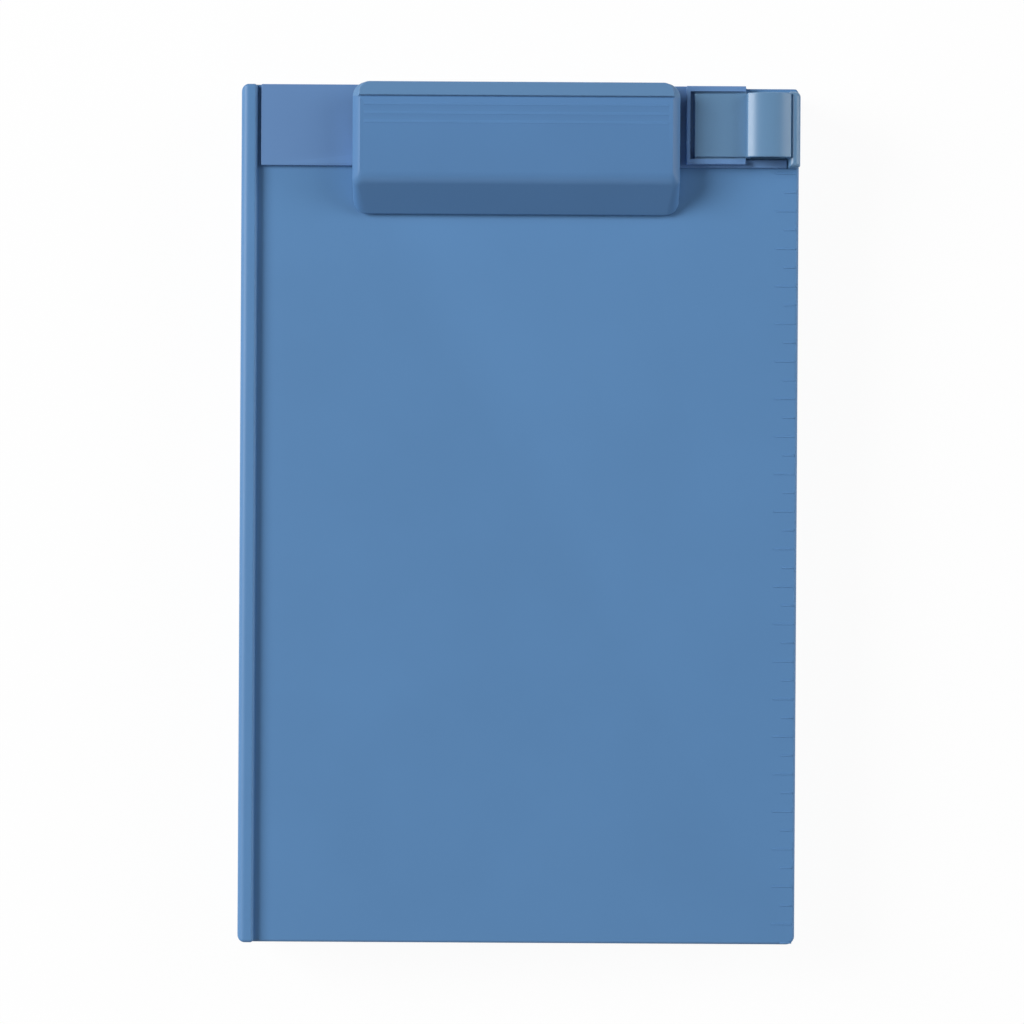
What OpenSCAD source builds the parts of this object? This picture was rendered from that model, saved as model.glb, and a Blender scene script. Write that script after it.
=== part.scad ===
// Storage clipboard box: a clipboard whose board is the hinged lid of a shallow storage tray.
// Origin at the middle of the underside. +X to the right, +Y towards the clip, +Z up. Millimetres.

/* [Box] */
// Width of the box
box_w = 148.5; // [130:0.5:210]
// Length of the box, from the bottom edge to the clip edge
box_l = 228.5; // [190:0.5:300]
// Radius of the upright corners
corner_r = 2.2; // [1.6:0.1:3]
// Thickness of the tray's walls
wall = 2; // [1.6:0.1:2.6]

/* [Tray] */
// Height of the tray, up to the joint with the lid
tray_h = 17; // [14:0.5:40]
// Thickness of the tray's floor
floor_t = 2; // [1.4:0.1:4]
// Thickness of the locating lip inside the lid's skirt
lip_t = 1.2; // [0.8:0.1:2]
// Height of the locating lip above the joint
lip_h = 1.5; // [0.8:0.1:2]
// Width of the finger recess in the right wall
recess_w = 24; // [10:1:60]
// Height of the finger recess
recess_h = 4.5; // [2:0.5:8]
// Depth of the finger recess
recess_d = 0.9; // [0.4:0.1:1.2]

/* [Lid] */
// Height of the lid's skirt under the board
skirt_h = 3; // [2.6:0.1:8]
// Thickness of the board
board_t = 2; // [1.6:0.1:3]
// Width of the raised rail over the hinge
rail_w = 4.3; // [3.6:0.1:6]
// Height of the rail above the board
rail_h = 2.2; // [1.4:0.1:3]
// Radius of the rail's outer upper edge
rail_outer_r = 2; // [0.8:0.1:2.1]
// Radius of the rail's inner upper edge
rail_r = 0.8; // [0.4:0.1:1.3]

/* [Hinge] */
// Radius of the hinge knuckles
knuckle_r = 2.9; // [2.4:0.1:3]
// Radius of the hinge pin
pin_r = 1; // [0.8:0.1:1.4]
// Number of knuckles, an odd number
knuckle_n = 7; // [3:2:15]
// Distance from each end of the box to the row of knuckles
hinge_inset = 9; // [5:0.5:30]

/* [Ruler] */
// Spacing of the ruler marks
mark_pitch = 5; // [5:1:10]
// Number of spaces between the marks
mark_n = 41; // [10:1:41]
// Width of one mark
mark_w = 0.4; // [0.2:0.1:1]
// Height of the marks above the board
mark_h = 0.15; // [0.1:0.05:0.3]
// Length of the long marks
mark_long = 5.3; // [3.5:0.1:8]
// Length of the short marks
mark_short = 3.1; // [1.5:0.1:3.4]
// Distance from the edge of the board to the marks
mark_inset = 0.8; // [0.3:0.1:2]

/* [Header plate] */
// Thickness of the plate that carries the clip and the pen holder
header_t = 1.2; // [1:0.1:2]
// Length of the plate, down from the clip edge
header_l = 21.6; // [21:0.1:30]
// Groove between the rail and the plate
header_groove = 0.95; // [0.4:0.05:3]

/* [Clip] */
// Width of the clip
clip_w = 86.6; // [75:0.2:90]
// Offset of the clip from the middle of the box, to the left
clip_shift = 1.1; // [0:0.1:4]
// Reach of the clip, from the clip edge to the nose of its jaw
clip_l = 34.4; // [33:0.2:44]
// Height of the clip's flat top above the board
clip_h = 10; // [9.6:0.1:11.5]
// Wall thickness of the clip
clip_wall = 1.8; // [1.2:0.1:2.2]
// Distance from the clip edge to the corner between the flat top and the sloped jaw
bend_s = 25.6; // [24.5:0.1:26.4]
// Radius of the bend between them
bend_r = 5; // [2:0.5:6]
// Angle of the sloped jaw
jaw_angle = 44; // [40:1:46]
// Radius of the clip's upper end edges
clip_edge_r = 2; // [0.6:0.1:2.2]
// Radius of the jaw's lower corners, seen from above
jaw_corner_r = 4; // [1:0.1:4]
// Radius of the clip's rear corners, seen from above
clip_corner_r = 3.4; // [1:0.1:4]
// Length of the raised finger lip
finger_lip_l = 3.7; // [2:0.1:5]
// Height of the finger lip above the flat top
finger_lip_h = 0.4; // [0.2:0.1:0.8]
// Distance from the ends of the clip to the finger lip
finger_lip_in = 1.6; // [0.8:0.1:4]
// Radius of the finger lip's rear corners
finger_lip_r = 2; // [0.4:0.1:2.2]
// Width of the groove in front of the finger lip
lip_groove_w = 0.45; // [0.2:0.05:0.8]
// Depth of that groove
lip_groove_d = 0.35; // [0.1:0.05:0.6]
// Distances of the grip ridges from the clip edge
ridge_s = [5.9, 8.3, 10.6];
// Height of the grip ridges
ridge_h = 0.1; // [0.1:0.05:0.4]
// Distance from the clip edge to the pivot
pivot_s = 15; // [14.6:0.1:15.6]
// Height of the pivot above the board
pivot_h = 4.6; // [4.5:0.1:4.9]
// Radius of the pivot rod
rod_r = 1.25; // [1:0.05:1.4]
// Angle that the clip opens
clip_open = 18; // [4:1:18]
// Distance of the inner bearing lugs from the middle of the clip
lug_inner = 8; // [5:0.5:10]
// Distance of the outer bearing lugs from the middle of the clip
lug_outer = 30; // [26:0.5:34]
// Width of one bearing lug
lug_w = 5; // [4.6:0.2:7]
// Radius of the bearing lugs around the rod
lug_r = 2.7; // [2.2:0.1:2.8]
// Length of the rubber grip under the jaw
grip_w = 76; // [40:1:77]
// Width of the rubber grip, along the paper
grip_l = 3; // [2:0.1:3.2]
// Thickness of the rubber grip
grip_t = 1.2; // [0.8:0.1:1.4]
// Distance from the nose of the jaw to the rubber grip
grip_back = 1; // [0.8:0.1:1.4]

/* [Springs] */
// Radius of the spring wire
wire_r = 0.4; // [0.25:0.05:0.5]
// Radius of the coil, to the middle of the wire
coil_r = 2.3; // [2.1:0.05:2.4]
// Spacing of the turns
coil_pitch = 1.4; // [1.3:0.05:1.8]
// Number of whole turns
coil_n = 6; // [3:1:7]
// Length of each leg
leg_l = 8; // [5:0.5:9]

/* [Header screws] */
// Radius of the thread
screw_r = 1; // [0.8:0.05:1.2]
// Radius of the head
screw_head_r = 2.1; // [1.6:0.1:2.4]
// Height of the head
screw_head_h = 1.3; // [0.8:0.1:1.4]
// Length of the thread
screw_l = 6.4; // [4.5:0.1:6.6]
// Distance from the pivot rod to the screws
screw_off = 3.4; // [3.2:0.1:3.6]

/* [Pen holder] */
// Distance from the right edge to the outside of the frame
frame_in = 30.25; // [29:0.25:34]
// Height of the frame above the header plate
frame_h = 2.2; // [2:0.1:3]
// Width of the frame's walls
frame_wall = 0.8; // [0.6:0.1:1.2]
// Reach of the frame's retaining lips
frame_lip = 0.6; // [0.4:0.1:0.8]
// Thickness of the retaining lips
frame_lip_t = 0.9; // [0.6:0.1:1.1]
// Distance from the clip edge to the outside of the frame
frame_edge = 0.1; // [0.1:0.05:0.4]
// Distance of the frame from the front edge of the plate
frame_step = 0.7; // [0.1:0.1:1]
// Thickness of the sliding tab
tab_t = 1.6; // [1.2:0.1:1.9]
// Gap between the frame and the end of the tab
tab_gap = 1.1; // [0.4:0.1:1.5]
// Width of the pen loop
loop_w = 11.7; // [9.6:0.1:12.4]
// Wall thickness of the pen loop
loop_wall = 1; // [0.8:0.1:1.2]
// Height of the loop's crown above the board
loop_h = 8; // [7:0.1:9.5]
// Radius of the loop's shallow crown
crown_r = 10.5; // [8:0.5:16]
// Width of the flange outside the loop
flange_w = 2.55; // [1.6:0.05:4]
// Height of the flange above the board
flange_h = 5.4; // [2.4:0.1:5.6]
// Radius of the flange's outer upper edge
flange_r = 1.9; // [0.4:0.1:1.9]
// Radius of the flange's rear corner, seen from above
flange_corner_r = 1.5; // [0.4:0.1:2]
// Travel of the holder
pen_travel = 10; // [4:0.5:10]
// Depth of the bay behind the loop
bay_d = 0.5; // [0.4:0.1:1.2]
// Height of the bay below the joint
bay_h = 3.5; // [1:0.5:8]

/* [Clearances] */
// Radial clearance of pins and rods in their bores
bore_gap = 0.05; // [0.02:0.01:0.1]
// Clearance between the knuckles and around them
hinge_gap = 0.3; // [0.2:0.05:0.4]
// Clearance between the lip and the lid's skirt
lip_gap = 0.3; // [0.2:0.05:0.5]
// Clearance of the sliding tab in its frame
slide_gap = 0.2; // [0.1:0.05:0.3]
// Gap between the rubber grip and the board
grip_gap = 0.05; // [0.05:0.05:0.3]

/* [Hidden] */
$fn = 48;
EPS = 0.01;
BLUE = [0.35, 0.50, 0.67];
BLUE_LIGHT = [0.39, 0.53, 0.69];
STEEL = [0.70, 0.71, 0.73];
RUBBER = [0.13, 0.14, 0.16];

// Levels, upwards from the underside
board_z = tray_h + skirt_h + board_t;
plate_z = tray_h + skirt_h;
rail_z = board_z + rail_h;
header_z = board_z + header_t;
clip_z = board_z + clip_h;
pivot_z = board_z + pivot_h;

// Hinge: the axis lies at the joint, inside the left edge, and the left wall stops under the swing
relief_r = knuckle_r + hinge_gap;
hinge_x = -box_w / 2 + relief_r;
hinge_z = tray_h;
swing_gap = 0.4;
hinge_wall_z = hinge_z - relief_r - 1;
web_half = relief_r - 1;
hinge_run = box_l - 2 * hinge_inset;
knuckle_l = hinge_run / knuckle_n;

// Clip: the middle of the clip, and the places along Y counted from the clip edge
clip_x = -clip_shift;
clip_half = clip_w / 2;
jaw_drop_z = board_z + 1.4;
side_rise_s = pivot_s + 0.5;
side_low_z = header_z + 0.4;
side_front_z = board_z + 0.4;
rear_z = side_low_z + side_rise_s * tan(clip_open);
finger_lip_edge = 0.2;
nose_r = 0.8;
lug_xs = [-lug_outer, -lug_inner, lug_inner, lug_outer];
screw_s = pivot_s + screw_off;
screw_top_z = plate_z + screw_l;
pillar_top_z = screw_top_z + 0.8;
spring_x = (lug_outer + lug_inner) / 2;

// Pen holder: its frame stands on the header plate, open to the right
frame_x = box_w / 2 - frame_in;
tab_x = frame_x + frame_wall + tab_gap + 0.3;
loop_x = box_w / 2 - flange_w - loop_w / 2;
loop_left = loop_x - loop_w / 2;
trough_x = loop_left - slide_gap;
flange_x = box_w / 2 - flange_w - loop_wall / 2;
frame_low = header_l - frame_step;
tongue_z = header_z + slide_gap;
lip_z = header_z + frame_h - frame_lip_t;
tab_s0 = frame_edge + frame_wall + frame_lip + 0.6;
tab_s1 = frame_low - (tab_s0 - frame_edge);
loop_front_s = tab_s1 + 0.3;
flange_s0 = tab_s0 - 0.5;
loop_floor_z = board_z + 0.15;
crown_z = board_z + loop_h;

// Height along Y of a place that lies s behind the clip edge
function from_edge(s) = box_l / 2 - s;

// A block by its low and high corners
module block(low, high) {
    translate(low) cube(high - low);
}

// An upright prism with round corners, centred on the Z axis
module rounded_prism(w, l, h, r) {
    linear_extrude(h) {
        square([w - 2 * r, l], center = true);
        square([w, l - 2 * r], center = true);
        for (x = [-1, 1], y = [-1, 1]) translate([x * (w / 2 - r), y * (l / 2 - r)]) circle(r);
    }
}

// Extrudes an outline of (x, z) points along Y
module along_y(y0, y1) {
    translate([0, y1, 0]) rotate([90, 0, 0]) linear_extrude(y1 - y0) children();
}

// Extrudes an outline of [s, z] points, with s counted back from the clip edge, along X
module along_x(x0, x1, outline) {
    translate([x0, box_l / 2, 0]) rotate([90, 0, 90])
        linear_extrude(x1 - x0) polygon([for (p = outline) [-p[0], p[1]]]);
}

// A cylinder along Y at a place (x, z)
module rod_y(x, z, r, y0, y1) {
    translate([x, y1, z]) rotate([90, 0, 0]) cylinder(r = r, h = y1 - y0);
}

// A cylinder along X at a place (s, z)
module rod_x(s, z, r, x0, x1) {
    translate([x0, from_edge(s), z]) rotate([0, 90, 0]) cylinder(r = r, h = x1 - x0);
}

// The knuckles of one leaf: first 0 for the tray's, 1 for the lid's, with webs that reach to web_z
module knuckles(first, web_z) {
    for (i = [first : 2 : knuckle_n - 1]) {
        y0 = -hinge_run / 2 + i * knuckle_l + hinge_gap / 2;
        y1 = y0 + knuckle_l - hinge_gap;
        rod_y(hinge_x, hinge_z, knuckle_r, y0, y1);
        block([hinge_x - web_half, y0, min(web_z, hinge_z)], [hinge_x + web_half, y1, max(web_z, hinge_z)]);
    }
}

// The bay in the clip edge behind the pen loop, from a level up
module pen_bay(z0) {
    block([loop_left, from_edge(bay_d), z0], [box_w / 2 + 1, from_edge(-1), header_z + 1]);
}

module tray_shell() {
    inner_w = box_w - 2 * wall;
    inner_l = box_l - 2 * wall;
    gap = 2 * lip_gap;
    difference() {
        rounded_prism(box_w, box_l, tray_h, corner_r);
        translate([0, 0, floor_t]) rounded_prism(inner_w, inner_l, tray_h, corner_r - 1);
    }
    // The lip stands inside the lid's skirt on three sides
    intersection() {
        difference() {
            union() {
                translate([0, 0, tray_h - 3]) rounded_prism(inner_w + EPS, inner_l + EPS, 3, corner_r - 1);
                translate([0, 0, tray_h - 1])
                    rounded_prism(inner_w - gap, inner_l - gap, lip_h + 1, corner_r - 1);
            }
            translate([0, 0, tray_h - 4])
                rounded_prism(inner_w - gap - 2 * lip_t, inner_l - gap - 2 * lip_t, lip_h + 5, corner_r - 1);
        }
        block([hinge_x + relief_r + 2, -box_l, 0], [box_w, box_l, box_w]);
    }
    // Two friction nibs on the right side of the lip
    for (y = [-1, 1]) {
        nib_x = inner_w / 2 - lip_gap;
        block([nib_x - 0.5, y * box_l / 4 - 4, tray_h + 0.4], [nib_x + lip_gap / 2, y * box_l / 4 + 4, tray_h + 1.1]);
    }
}

module base_tray() color(BLUE) {
    difference() {
        union() {
            difference() {
                tray_shell();
                block([-box_w, -box_l, hinge_wall_z], [hinge_x, box_l, tray_h + 9]);
                rod_y(hinge_x, hinge_z, relief_r + swing_gap, -box_l, box_l);
                pen_bay(tray_h - bay_h);
            }
            intersection() {
                knuckles(0, hinge_wall_z - 2.5);
                block([-box_w / 2, -box_l, 0], [box_w, box_l, box_w]);
            }
        }
        rod_y(hinge_x, hinge_z, pin_r + bore_gap, -box_l, box_l);
        // Finger recess, to lift the lid by its edge
        block([box_w / 2 - recess_d, -recess_w / 2, tray_h - recess_h], [box_w, recess_w / 2, tray_h + 9]);
    }
}

module hinge_pin() color(STEEL) {
    rod_y(hinge_x, hinge_z, pin_r, -hinge_run / 2 + hinge_gap, hinge_run / 2 - hinge_gap);
}

// Section of the rail over the hinge
module rail_section() {
    x0 = -box_w / 2;
    x1 = x0 + rail_w;
    translate([x0, plate_z]) square([rail_w, rail_z - rail_outer_r - plate_z]);
    translate([x0 + rail_outer_r, plate_z]) square([rail_w - rail_outer_r, rail_z - rail_r - plate_z]);
    translate([x0 + rail_outer_r, plate_z]) square([rail_w - rail_outer_r - rail_r, rail_z - plate_z]);
    translate([x0 + rail_outer_r, rail_z - rail_outer_r]) circle(rail_outer_r);
    translate([x1 - rail_r, rail_z - rail_r]) circle(rail_r);
}

module ruler_marks() {
    zero_s = header_l + 1.4;
    for (i = [0 : mark_n]) {
        y = from_edge(zero_s + i * mark_pitch);
        length = i % 2 == 0 ? mark_long : mark_short;
        x1 = box_w / 2 - mark_inset;
        if (y - mark_w / 2 > -box_l / 2)
            block([x1 - length, y - mark_w / 2, board_z - 0.1], [x1, y + mark_w / 2, board_z + mark_h]);
    }
}

module lid_board() color(BLUE) {
    difference() {
        union() {
            difference() {
                intersection() {
                    union() {
                        translate([0, 0, tray_h]) rounded_prism(box_w, box_l, skirt_h + board_t, corner_r);
                        along_y(-box_l / 2, box_l / 2) rail_section();
                    }
                    rounded_prism(box_w, box_l, rail_z + 1, corner_r);
                }
                translate([0, 0, tray_h - 1])
                    rounded_prism(box_w - 2 * wall, box_l - 2 * wall, skirt_h + 1, corner_r - 1);
                // The left side is open over the knuckles
                block([-box_w, -box_l / 2 + wall, 0], [hinge_x + relief_r, box_l / 2 - wall, hinge_z + relief_r]);
                pen_bay(0);
                for (x = lug_xs)
                    translate([clip_x + x, from_edge(screw_s), 0]) cylinder(r = screw_r + 0.2, h = board_z + 1);
            }
            knuckles(1, hinge_z + relief_r + 0.5);
            // Round ends close the left corners around the hinge axis
            rod_y(hinge_x, hinge_z, relief_r - EPS, box_l / 2 - wall, box_l / 2 - 0.3);
            rod_y(hinge_x, hinge_z, relief_r - EPS, 0.3 - box_l / 2, wall - box_l / 2);
            ruler_marks();
        }
        rod_y(hinge_x, hinge_z, pin_r + bore_gap, -hinge_run / 2, hinge_run / 2);
    }
}

// One bearing lug of the clip, with the pillar that takes its screw
module bearing_lug(x) {
    x0 = clip_x + x - lug_w / 2;
    x1 = x0 + lug_w;
    rod_x(pivot_s, pivot_z, lug_r, x0, x1);
    block([x0, from_edge(pivot_s + lug_r), board_z], [x1, from_edge(pivot_s - lug_r), pivot_z]);
    block([x0, from_edge(screw_s + screw_r + 1.2), board_z], [x1, from_edge(pivot_s), pillar_top_z]);
}

// The frame of the pen holder, open to the right, with lips over the tab's tongues
module pen_frame() {
    top_z = header_z + frame_h;
    back_y = from_edge(frame_edge);
    front_y = from_edge(frame_low);
    block([frame_x, front_y, board_z], [frame_x + frame_wall + 0.3, back_y, top_z]);
    block([frame_x, back_y - frame_wall, board_z], [trough_x, back_y, top_z]);
    block([frame_x, front_y, board_z], [trough_x, front_y + frame_wall, top_z]);
    block([frame_x, back_y - frame_wall - frame_lip, lip_z], [trough_x, back_y, top_z]);
    block([frame_x, front_y, lip_z], [trough_x, front_y + frame_wall + frame_lip, top_z]);
}

module header_plate() color(BLUE_LIGHT) {
    difference() {
        union() {
            block([-box_w / 2 + rail_w + header_groove, from_edge(header_l), board_z],
                [trough_x, from_edge(0), header_z]);
            // A strip of the plate runs on in front of the pen loop
            block([trough_x - 1, from_edge(header_l), board_z],
                [flange_x - slide_gap, from_edge(loop_front_s + slide_gap), header_z]);
            for (x = lug_xs) bearing_lug(x);
            pen_frame();
        }
        rod_x(pivot_s, pivot_z, rod_r + bore_gap, -box_w, box_w);
        for (x = lug_xs)
            translate([clip_x + x, from_edge(screw_s), 0]) cylinder(r = screw_r + bore_gap, h = screw_top_z + 0.3);
    }
}

module header_screws() color(STEEL) {
    for (x = lug_xs) translate([clip_x + x, from_edge(screw_s), 0]) {
        difference() {
            translate([0, 0, plate_z - screw_head_h]) cylinder(r = screw_head_r, h = screw_head_h);
            // Cross recess
            for (a = [0, 90]) rotate(a)
                translate([-1.1, -0.3, plate_z - screw_head_h - 1]) cube([2.2, 0.6, 1.7]);
        }
        translate([0, 0, plate_z - EPS]) cylinder(r = screw_r, h = screw_l + EPS);
    }
}

// Places on the clip's section, seen from the side
slope = tan(jaw_angle);
nose_s = clip_l - nose_r;
nose_z = clip_z - (nose_s + nose_r * sin(jaw_angle) - bend_s) * slope - nose_r * cos(jaw_angle);

// A point of the round bend, at an angle from the flat top
function bend_point(a) =
    [bend_s - bend_r * tan(jaw_angle / 2) + bend_r * sin(a), clip_z - bend_r * (1 - cos(a))];

// A point of the round nose, at an angle above level
function nose_point(a) = [nose_s + nose_r * cos(a), nose_z + nose_r * sin(a)];

// Outer outline, with the bend and the sloped jaw
clip_outline = [
    [0, rear_z],
    [0, clip_z - 0.6],
    [0.6, clip_z],
    for (i = [0 : 6]) bend_point(i * jaw_angle / 6),
    for (i = [0 : 4]) nose_point((90 - jaw_angle) * (1 - i / 4)),
    [clip_l, side_front_z],
    [header_l + 1, side_front_z],
    [header_l + 1, side_low_z],
    [side_rise_s, side_low_z],
];

// The hollow under the clip
hollow_z = clip_z - clip_wall;
hollow_corner_s = bend_s - clip_wall * tan(jaw_angle / 2);
hollow_front_z = board_z + 3.2;
hollow_front_s = hollow_corner_s + (hollow_z - hollow_front_z) / slope;
clip_hollow = [
    [clip_wall, 0],
    [clip_wall, hollow_z],
    [hollow_corner_s, hollow_z],
    [hollow_front_s, hollow_front_z],
    [hollow_front_s, 0],
];

// The clip's plan, with round corners
module clip_plan(h) {
    middle = clip_l / 2;
    translate([clip_x - clip_half, from_edge(clip_l), 0]) linear_extrude(h) {
        translate([0, jaw_corner_r]) square([clip_w, clip_l - jaw_corner_r - clip_corner_r]);
        translate([jaw_corner_r, 0]) square([clip_w - 2 * jaw_corner_r, middle]);
        translate([clip_corner_r, middle]) square([clip_w - 2 * clip_corner_r, clip_l - middle]);
        for (x = [jaw_corner_r, clip_w - jaw_corner_r]) translate([x, jaw_corner_r]) circle(jaw_corner_r);
        for (x = [clip_corner_r, clip_w - clip_corner_r])
            translate([x, clip_l - clip_corner_r]) circle(clip_corner_r);
    }
}

// The clip seen from its end edge, with round upper edges
module clip_front() {
    top_z = clip_z + EPS;
    along_y(from_edge(clip_l + 1), from_edge(-1)) {
        translate([clip_x - clip_half, 0]) square([clip_w, top_z - clip_edge_r]);
        translate([clip_x - clip_half + clip_edge_r, 0]) square([clip_w - 2 * clip_edge_r, top_z]);
        for (x = [-1, 1])
            translate([clip_x + x * (clip_half - clip_edge_r), top_z - clip_edge_r]) circle(clip_edge_r);
    }
}

// The raised finger lip along the clip edge, with round rear corners
module finger_lip() {
    lip_half = clip_half - finger_lip_in;
    translate([clip_x - lip_half, from_edge(finger_lip_l), clip_z - 0.5]) linear_extrude(finger_lip_h + 0.5) {
        square([2 * lip_half, finger_lip_l - finger_lip_edge - finger_lip_r]);
        translate([finger_lip_r, 0]) square([2 * (lip_half - finger_lip_r), finger_lip_l - finger_lip_edge]);
        for (x = [finger_lip_r, 2 * lip_half - finger_lip_r])
            translate([x, finger_lip_l - finger_lip_edge - finger_lip_r]) circle(finger_lip_r);
    }
}

module clip_lever() color(BLUE) {
    x0 = clip_x - clip_half;
    x1 = clip_x + clip_half;
    difference() {
        union() {
            difference() {
                intersection() {
                    along_x(x0, x1, clip_outline);
                    clip_plan(clip_z + 2);
                    clip_front();
                }
                along_x(x0 + clip_wall, x1 - clip_wall, clip_hollow);
            }
            // Bosses around the rod's ends
            rod_x(pivot_s, pivot_z, rod_r + 1.3, x0 + clip_wall - EPS, x0 + clip_wall + 1.6);
            rod_x(pivot_s, pivot_z, rod_r + 1.3, x1 - clip_wall - 1.6, x1 - clip_wall + EPS);
            finger_lip();
            // Grip ridges
            for (s = ridge_s)
                block([x0 + 3, from_edge(s + 0.3), clip_z - 0.5], [x1 - 3, from_edge(s - 0.3), clip_z + ridge_h]);
        }
        block([x0 + finger_lip_in, from_edge(finger_lip_l + lip_groove_w), clip_z - lip_groove_d],
            [x1 - finger_lip_in, from_edge(finger_lip_l), clip_z + 1]);
        rod_x(pivot_s, pivot_z, rod_r + bore_gap, x0 - 1, x1 + 1);
        jaw_pocket();
    }
}

// The space of the rubber grip in the jaw
module jaw_pocket() {
    front_y = from_edge(clip_l - grip_back);
    z0 = board_z + grip_gap;
    block([clip_x - grip_w / 2, front_y, z0], [clip_x + grip_w / 2, front_y + grip_l, z0 + grip_t]);
}

module jaw_grip() color(RUBBER) jaw_pocket();

module clip_rod() color(STEEL) {
    rod_x(pivot_s, pivot_z, rod_r, clip_x - clip_half + 0.4, clip_x + clip_half - 0.4);
}

// Torsion spring around the rod: a leg on the header plate, the turns, and a leg under the clip's top.
// Its wire is one tube, whose rings are worked out in order along the wire.
leg_low_z = header_z + wire_r + 0.05;
leg_high_z = clip_z - clip_wall - wire_r - 0.05;

// The angle at which a leg leaves the coil to reach a rise at its end
function leg_angle(rise) = 2 * atan((leg_l - sqrt(leg_l * leg_l + coil_r * coil_r - rise * rise)) / (coil_r + rise));

low_angle = leg_angle(pivot_z - leg_low_z);
high_angle = leg_angle(leg_high_z - pivot_z);
coil_a0 = low_angle - 90;
coil_a1 = 90 - high_angle + 360 * coil_n;
coil_rings = round(8 * (coil_n + 0.5));
coil_width = coil_pitch * (coil_a1 - coil_a0) / 360;

// Each ring is [across the coil, front, up, angle of its outward side, half turn of travel]
function coil_ring(i) =
    let (t = i / coil_rings, a = coil_a0 + t * (coil_a1 - coil_a0))
    [coil_width * (t - 0.5), coil_r * cos(a), coil_r * sin(a), a];
function leg_end(ring, along) =
    [ring[0], ring[1] - along * sin(ring[3]), ring[2] + along * cos(ring[3]), ring[3]];
spring_rings = [
    leg_end(coil_ring(0), -leg_l),
    for (i = [0 : coil_rings]) coil_ring(i),
    leg_end(coil_ring(coil_rings), leg_l),
];
spring_gap = min([for (i = [1 : coil_rings - 8], j = [i + 7 : 1 : min(i + 9, coil_rings)])
    norm([for (k = [0 : 2]) spring_rings[i][k] - spring_rings[j][k]])]) - 2 * wire_r;
echo(spring_gap = spring_gap);

// One point on the tube around a ring, in the clip's places
function wire_point(ring, k) =
    let (b = 60 * k, out = wire_r * cos(b), across = wire_r * sin(b))
    [ring[0] + across, -(ring[1] + out * cos(ring[3])), ring[2] + out * sin(ring[3])];

module torsion_spring(x) {
    n = len(spring_rings);
    points = [for (ring = spring_rings, k = [0 : 5]) wire_point(ring, k)];
    sides = [for (i = [0 : n - 2], k = [0 : 5])
        let (a = 6 * i + k, b = 6 * i + (k + 1) % 6) each [[a, b, b + 6], [a, b + 6, a + 6]]];
    caps = [for (k = [1 : 4]) each [[0, k + 1, k], [6 * n - 6, 6 * n - 6 + k, 6 * n - 5 + k]]];
    translate([x, from_edge(pivot_s), pivot_z]) polyhedron(points, concat(sides, caps));
}

module clip_spring_left() color(STEEL) torsion_spring(clip_x - spring_x);

module clip_spring_right() color(STEEL) torsion_spring(clip_x + spring_x);

// Section of the pen loop: upright sides, a flat floor and a shallow crown, drawn in by an inset
module loop_outline(inset) {
    half = loop_w / 2 - inset;
    intersection() {
        translate([loop_x, crown_z - crown_r]) circle(crown_r - inset);
        translate([loop_x - half, loop_floor_z + inset]) square([2 * half, 2 * crown_r]);
    }
}

module pen_holder() color(BLUE_LIGHT) {
    top_z = tongue_z + tab_t;
    tongue_top_z = lip_z - slide_gap;
    tongue = frame_lip + 0.6 - slide_gap;
    flange_z = board_z + flange_h;
    // Tab with its two tongues
    block([tab_x, from_edge(tab_s1), tongue_z], [loop_left + loop_wall, from_edge(tab_s0), top_z]);
    block([tab_x, from_edge(tab_s1 + tongue), tongue_z], [loop_left - EPS, from_edge(tab_s0 - tongue), tongue_top_z]);
    along_y(from_edge(loop_front_s), from_edge(tab_s0)) difference() {
        loop_outline(0);
        loop_outline(loop_wall);
    }
    // Flange along the right edge, with a round upper edge and a round rear corner
    difference() {
        along_y(from_edge(header_l + 0.1), from_edge(flange_s0)) {
            translate([flange_x, loop_floor_z]) square([box_w / 2 - flange_x, flange_z - flange_r - loop_floor_z]);
            translate([flange_x, loop_floor_z]) square([box_w / 2 - flange_r - flange_x, flange_z - loop_floor_z]);
            translate([box_w / 2 - flange_r, flange_z - flange_r]) circle(flange_r);
        }
        translate([box_w / 2 - flange_corner_r, from_edge(flange_s0 + flange_corner_r), 0]) difference() {
            cube([2 * flange_corner_r, 2 * flange_corner_r, box_w]);
            cylinder(r = flange_corner_r, h = box_w);
        }
    }
}

base_tray();
hinge_pin();
lid_board();
header_plate();
header_screws();
clip_lever();
jaw_grip();
clip_rod();
clip_spring_left();
clip_spring_right();
pen_holder();
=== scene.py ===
"""Storage clipboard box: its moulded shells, clip, pen holder and springs, and a plain stage.

Every piece is built in metres in the row frame, and all but the springs ride on the body that
carries them.
"""

import math

import bmesh
import bpy
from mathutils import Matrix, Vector


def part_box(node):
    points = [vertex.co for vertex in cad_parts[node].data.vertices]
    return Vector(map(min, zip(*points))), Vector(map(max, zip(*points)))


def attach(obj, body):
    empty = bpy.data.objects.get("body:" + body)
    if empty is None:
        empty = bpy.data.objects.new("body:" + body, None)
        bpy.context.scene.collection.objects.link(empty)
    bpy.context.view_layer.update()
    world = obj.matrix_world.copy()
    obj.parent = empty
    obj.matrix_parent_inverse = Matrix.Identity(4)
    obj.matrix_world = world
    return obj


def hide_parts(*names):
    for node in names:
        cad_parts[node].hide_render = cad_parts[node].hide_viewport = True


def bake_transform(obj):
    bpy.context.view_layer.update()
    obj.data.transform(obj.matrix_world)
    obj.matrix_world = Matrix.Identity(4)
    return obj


bl_info = {
    "name": "Storage Clipboard Box",
    "version": (1, 0, 0),
    "blender": (4, 5, 0),
    "location": "View3D > Sidebar > Clipboard Box",
    "description": "Builds a storage clipboard box with its clip, pen holder and tray",
    "category": "Add Mesh",
}

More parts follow.
